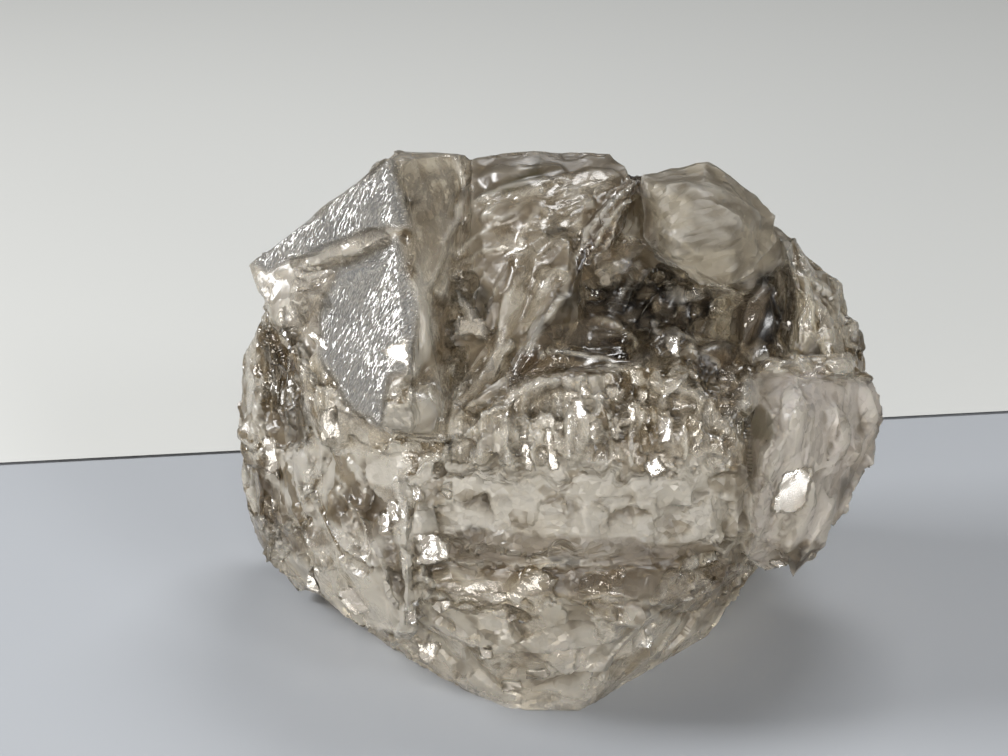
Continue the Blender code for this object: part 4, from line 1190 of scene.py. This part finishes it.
def tintOf(p, n, w, swell, fleck):
    # the colour of each point, and how much of it is a deep tone, from the zones, two scales of cloudiness,
    # the patches and folds, edges paler partly as painted highlight, and painted shade in the hollows and the
    # cavity
    broad = cloudy(p * 0.05, 3, 401)
    edge, shadedHollow = rise(swell, 0.10, 0.60), rise(-swell, 0.05, 0.50)
    speck = rise(fleck, 0.62, 0.45)
    color = washed(np.tile(np.array(tones["clear"]), (len(p), 1)), [
        ("smoke", 0.6 * rise(broad, 0.50, 0.68)),
        ("pale", 0.8 * rise(broad, 0.50, 0.36)),
        ("brown", 0.35 * rise(fleck, 0.60, 0.72)),
        ("pale", 0.4 * w["belt"] * speck),
        ("pale", 0.3 * w["middle"] * speck),
        ("smoke", 0.25 * w["middle"] * (1 + rise(fleck, 0.40, 0.60)) + 0.25 * w["curtain"]),
        ("green", 0.8 * w["lump"]),
        ("lilac", 0.85 * w["slab"]),
        # painted reflection: the slab's shine laid on near white
        ("paintedHighlight", w["slabShine"]),
        ("smoke", 0.9 * w["topBand"]),
        ("olive", w["topBand"]),
        ("brown", w["strip"] * (0.15 + 0.35 * rise(fleck, 0.42, 0.58))),
        ("brown", 0.8 * w["brown"]),
        # painted shade: the whole cavity darkened brown and near black, as the deep cleft lies in shadow
        ("brown", 0.9 * w["cavity"]),
        ("darkSmokeAndShade", 0.65 * w["cavity"]),
        ("smoke", 0.7 * w["veils"] * rise(fleck, 0.45, 0.55)),
        # the belly sandy and paler: partly its own tone, partly painted bounce light from the floor
        ("sand", 0.4 * w["belly"]),
        ("pale", 0.4 * w["belly"]),
    ])
    deep = np.zeros(len(p))
    for tone, amount, _, k, share in marksOf(p, n):
        color[k] = washed(color[k], [(tone, amount * share)])
        if tone in deepTones:
            deep[k] = np.maximum(deep[k], amount * share)
    color = washed(color, [
        # painted shade: hollows darkened with smoke, the deepest near black
        ("smoke", 0.75 * shadedHollow),
        ("darkSmokeAndShade", 0.6 * rise(-swell, 0.30, 0.80)),
        ("darkSmokeAndShade", 0.35 * w["topBand"]),
        # raised edges paler: partly their frosting, partly painted highlight
        ("pale", 0.7 * edge * (1 - 0.8 * w["cavity"]) * (1 - 0.6 * w["topBand"])),
        # the window band between the silvery faces laid near white: painted highlight
        ("paintedHighlight", 0.7 * w["window"]),
        ("silver", w["silver"]),
    ])
    return color, deep


def keepAttribute(mesh, kind, name, values):
    # writes one attribute, a number, three numbers or a colour for each point
    layer = mesh.attributes.new(name, kind, "POINT")
    field = {"FLOAT": "value", "FLOAT_VECTOR": "vector", "FLOAT_COLOR": "color"}[kind]
    layer.data.foreach_set(field, values.astype(np.float32).ravel())


def paint(mesh):
    # the tint, with its painted highlights and shade, and the frosting and small forms of each point, kept as
    # the attributes that the material reads
    p, n = designPoints(mesh), normalsOf(mesh)
    w = masksOf(p, n)
    fleck = cloudy(p * 0.16, 2, 411)
    color, deep = tintOf(p, n, w, swellOf(mesh, 6), fleck)
    frost = overall["frost"] - overall["clearer"] * np.maximum(w["curtain"], w["cavity"])
    frost = frost + overall["flecked"] * rise(fleck, 0.45, 0.62) + summed(w, finish["frost"])
    frost = frost * (1 - w["silver"]) + overall["silverFrost"] * w["silver"]
    smooth = np.clip(summed(w, finish["smooth"]), 0, 1)
    facet = (1 - smooth) * spared(w, finish["facet"])
    glint = rise(cloudy(p * 0.11, 3, 421), *overall["glintFrom"])
    glint = np.maximum(glint, w["lump"] + 0.6 * np.maximum(w["belt"], w["slab"]))
    glint = overall["glint"] * (1 - smooth) * glint * spared(w, finish["glint"])
    glint = glint * (1 - w["silver"]) + overall["silverGlint"] * etching["width"] * w["silver"]
    grit = spared(w, finish["grit"])
    milk = overall["milk"] * grit * spared(w, finish["milk"]) * (1 - deep)
    grain = laid(p, w)
    _, chance = cells(grain, bigCells["spacing"], bigCells["salt"])
    lean = overall["cellChance"] * chance[:, 0] + summed(w, finish["lean"])
    silver = w["silver"].copy()
    # the mirroring faces painted near white: a painted highlight over the lamp they mirror
    for k, _ in mirrorFaces(p, n):
        color[k], silver[k], facet[k], glint[k] = tones["paintedHighlight"], 1.0, flatLook["facet"], flatLook["glint"]
        frost[k] = flatLook["frost"] + flatLook["shineFrost"] * w["slabShine"][k]
        grit[k], milk[k] = 0.0, 0.0
    ways = (("along", "length"), ("across", "width"))
    strokes = [p @ np.array(etching[way]) / etching[size] for way, size in ways]
    strokes = np.stack(strokes + [np.zeros(len(p))], 1)
    fine = np.where(silver[:, None] > 0.5, strokes, overall["fineSize"] * grain)
    # the tint, painted highlights and shade included
    keepAttribute(mesh, "FLOAT_COLOR", "tone", np.concatenate([color, np.ones((len(p), 1))], 1))
    keepAttribute(mesh, "FLOAT_VECTOR", "grain", grain)
    keepAttribute(mesh, "FLOAT_VECTOR", "fine", fine)
    numbers = {"frost": frost, "bigChance": lean, "facet": facet, "glint": glint, "grit": grit, "milk": milk}
    for name, values in numbers.items():
        keepAttribute(mesh, "FLOAT", name, values)


def addNode(tree, kind, links=None, **settings):
    # a node with its properties set, and its inputs linked or set from `links`
    node = tree.nodes.new(kind)
    for name, value in settings.items():
        setattr(node, name, value)
    for name, value in (links or {}).items():
        if isinstance(value, bpy.types.NodeSocket):
            tree.links.new(value, node.inputs[name])
        else:
            node.inputs[name].default_value = value
    return node


def facetGroup():
    # every Voronoi cell becomes one small flat face with its own tilt:
    # height = Tilt (place - cell centre) . (cell colour - 1/2), in the units of the vector that goes in
    group = bpy.data.node_groups.new("flatScales", "ShaderNodeTree")
    kinds = {"Vector": "NodeSocketVector", "Scale": "NodeSocketFloat", "Tilt": "NodeSocketFloat"}
    for name, kind in kinds.items():
        group.interface.new_socket(name, in_out="INPUT", socket_type=kind)
    for name in ("Height", "Chance"):
        group.interface.new_socket(name, in_out="OUTPUT", socket_type="NodeSocketFloat")
    start = addNode(group, "NodeGroupInput").outputs
    grid = {"Vector": start["Vector"], "Scale": start["Scale"]}
    spots = addNode(group, "ShaderNodeTexVoronoi", grid).outputs
    gap, centred = {0: start["Vector"], 1: spots["Position"]}, {0: spots["Color"], 1: (0.5, 0.5, 0.5)}
    away = addNode(group, "ShaderNodeVectorMath", gap, operation="SUBTRACT")
    lean = addNode(group, "ShaderNodeVectorMath", centred, operation="SUBTRACT")
    ways = {0: away.outputs["Vector"], 1: lean.outputs["Vector"]}
    slope = addNode(group, "ShaderNodeVectorMath", ways, operation="DOT_PRODUCT").outputs["Value"]
    tilted = {0: slope, 1: start["Tilt"]}
    height = addNode(group, "ShaderNodeMath", tilted, operation="MULTIPLY").outputs["Value"]
    chance = addNode(group, "ShaderNodeSeparateColor", {"Color": spots["Color"]}).outputs["Red"]
    addNode(group, "NodeGroupOutput", {"Height": height, "Chance": chance})
    return group


quartzLook = {
    "refraction": 1.544,
    "transmission": 0.80,
    "absorb": (0.72, 0.63, 0.44, 1),
    "absorbDensity": 11.0,  # a metre
    "veil": (0.35, 0.29, 0.21, 1),  # tint of the brown cells and wisps
    "milk": (0.93, 0.90, 0.83, 1),  # tint of the frosted cells
    "milkFrost": 0.22,  # how much rougher they are
    "small": (0.30, 0.40),  # cells a mm, and how strongly each leans
    "fine": (1.0, 1.0),
    "etch": 0.14,  # height of the finest unevenness, mm
    "etchScale": 1100.0,  # a metre
    "cloudScale": 260.0,
    "smallShare": 0.30,  # what the small cells and the clouds add to the large cells' chance
    "cloudShare": 0.9,
    "veilFrom": (0.88, 1.06),  # chances at which the veil and the milk start and are full
    "milkFrom": (0.76, 0.52),
}


def quartzMaterial():
    # one see-through quartz; its tint, frost and small tilts come from the attributes of each point
    look = quartzLook
    material = bpy.data.materials.new("smokyQuartz")
    material.use_nodes = True
    tree = material.node_tree
    shader = tree.nodes["Principled BSDF"]
    shader.inputs["IOR"].default_value = look["refraction"]
    shader.inputs["Transmission Weight"].default_value = look["transmission"]
    place = addNode(tree, "ShaderNodeTexCoord").outputs["Object"]
    scales = facetGroup()

    def read(name, kind="Fac"):
        # what the mesh keeps under that name
        return addNode(tree, "ShaderNodeAttribute", attribute_name=name).outputs[kind]

    def times(a, b):
        return addNode(tree, "ShaderNodeMath", {0: a, 1: b}, operation="MULTIPLY").outputs["Value"]

    def plus(a, b):
        return addNode(tree, "ShaderNodeMath", {0: a, 1: b}, operation="ADD").outputs["Value"]

    def ramp(value, ends):
        # 0 at the first end, 1 at the second, smooth between
        inputs = {"Value": value, "From Min": ends[0], "From Max": ends[1]}
        return addNode(tree, "ShaderNodeMapRange", inputs, interpolation_type="SMOOTHSTEP").outputs["Result"]

    def noise(scale, detail):
        links = {"Vector": place, "Scale": scale, "Detail": detail}
        return addNode(tree, "ShaderNodeTexNoise", links).outputs["Fac"]

    def flat(name, pair):
        # small flat faces on the kept places of that name: their heights, and one chance a face
        part = addNode(tree, "ShaderNodeGroup", node_tree=scales)
        tree.links.new(read(name, "Vector"), part.inputs["Vector"])
        part.inputs["Scale"].default_value, part.inputs["Tilt"].default_value = pair
        return part.outputs["Height"], part.outputs["Chance"]

    grit = read("grit")
    smallHeight, smallChance = flat("grain", look["small"])
    fineHeight, _ = flat("fine", look["fine"])
    height = plus(times(smallHeight, read("facet")), times(fineHeight, read("glint")))
    height = plus(height, times(times(noise(look["etchScale"], 3.0), look["etch"]), grit))
    bump = addNode(tree, "ShaderNodeBump", {"Strength": 1.0, "Distance": mm, "Height": height})
    tree.links.new(bump.outputs["Normal"], shader.inputs["Normal"])

    cloud = times(noise(look["cloudScale"], 2.0), look["cloudShare"])
    chance = plus(plus(read("bigChance"), times(smallChance, look["smallShare"])), cloud)
    veil = times(ramp(chance, look["veilFrom"]), grit)
    milk = times(ramp(chance, look["milkFrom"]), read("milk"))
    tinted = addNode(tree, "ShaderNodeMix", {"Factor": veil}, data_type="RGBA", blend_type="MULTIPLY")
    tree.links.new(read("tone", "Color"), tinted.inputs[6])
    tinted.inputs[7].default_value = look["veil"]
    milky = addNode(tree, "ShaderNodeMix", {"Factor": milk}, data_type="RGBA")
    tree.links.new(tinted.outputs[2], milky.inputs[6])
    milky.inputs[7].default_value = look["milk"]
    tree.links.new(milky.outputs[2], shader.inputs["Base Color"])
    tree.links.new(plus(read("frost"), times(milk, look["milkFrost"])), shader.inputs["Roughness"])
    smoke = {"Color": look["absorb"], "Density": look["absorbDensity"]}
    dim = addNode(tree, "ShaderNodeVolumeAbsorption", smoke)
    tree.links.new(dim.outputs["Volume"], tree.nodes["Material Output"].inputs["Volume"])
    return material


def plainMaterial(name, color, roughness):
    # a matt paint of one colour
    material = bpy.data.materials.new(name)
    material.use_nodes = True
    shader = material.node_tree.nodes["Principled BSDF"]
    shader.inputs["Base Color"].default_value = (*color, 1)
    shader.inputs["Roughness"].default_value = roughness
    return material


stage = {
    "size": 3.0,  # m
    "floor": (0.315, 0.33, 0.352),
    "floorRoughness": 0.5,
    "board": (0.51, 0.515, 0.50),
    "boardRoughness": 0.4,
    "boardTop": 0.0006,  # m above the floor
    "edge": ((-0.1188, 0.0642), (0.1027, 0.0919)),  # the board's near edge runs through these two points, m
}
room = {"color": (0.62, 0.64, 0.67, 1), "strength": 0.12}
bounces = {"max_bounces": 7, "transmission_bounces": 7, "diffuse_bounces": 2, "glossy_bounces": 2}


def stagePlane(name, material):
    # a square plane of the stage's size
    bpy.ops.mesh.primitive_plane_add(size=stage["size"])
    plane = bpy.context.object
    plane.name = name
    plane.data.materials.append(material)
    return plane


def buildStage():
    # a pale floor, and a pale board on it behind the crystal, its corners left +- half way and those
    # + half back
    floor = stagePlane("floor", plainMaterial("paleFloor", stage["floor"], stage["floorRoughness"]))
    board = stagePlane("board", plainMaterial("paleBoard", stage["board"], stage["boardRoughness"]))
    half = stage["size"] / 2
    left, right = np.array(stage["edge"]) - designMiddle[:2] * mm
    way = (right - left) / np.linalg.norm(right - left)
    back = np.array([-way[1], way[0]])
    near = [left - half * way, left + half * way]
    corners = near + [corner + half * back for corner in near]
    setPoints(board.data, np.array([(x, y, stage["boardTop"]) for x, y in corners]))


def buildLight():
    # soft lamps around the crystal, each turned to its target, in a dim room
    for name, look in lamps.items():
        light = bpy.data.lights.new(name, "AREA")
        light.shape = "RECTANGLE"
        light.size, light.size_y = look["size"]
        light.energy = look["power"]
        light.color = look.get("tint", (1, 1, 1))
        obj = linked(name, light)
        obj.location = look["place"]
        obj.rotation_mode = "QUATERNION"
        obj.rotation_quaternion = (Vector(look["target"]) - Vector(look["place"])).to_track_quat("-Z", "Y")
    scene = bpy.context.scene
    scene.world = bpy.data.worlds.new("room")
    scene.world.use_nodes = True
    background = scene.world.node_tree.nodes["Background"]
    background.inputs["Color"].default_value = room["color"]
    background.inputs["Strength"].default_value = room["strength"]
    scene.view_settings.view_transform = "Standard"
    for name, count in bounces.items():
        setattr(scene.cycles, name, count)


def buildCamera():
    # stands `distance` back from the middle along the gaze
    data = bpy.data.cameras.new("camera")
    data.sensor_width = viewer["sensor"]
    data.lens = viewer["sensor"] * viewer["focal"]
    camera = linked("camera", data)
    camera.location = Vector((lookedAt - designMiddle) * mm) - Vector(gaze) * viewer["distance"] * mm
    camera.rotation_mode = "QUATERNION"
    camera.rotation_quaternion = Vector(gaze).to_track_quat("-Z", "Y")
    bpy.context.scene.camera = camera


buildCamera()
buildStage()
buildLight()
print("camera, stage and lamps placed")
body = crystalBody()
body.data.materials.clear()
body.data.materials.append(quartzMaterial())
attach(body, "root")
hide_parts("elestial_quartz")
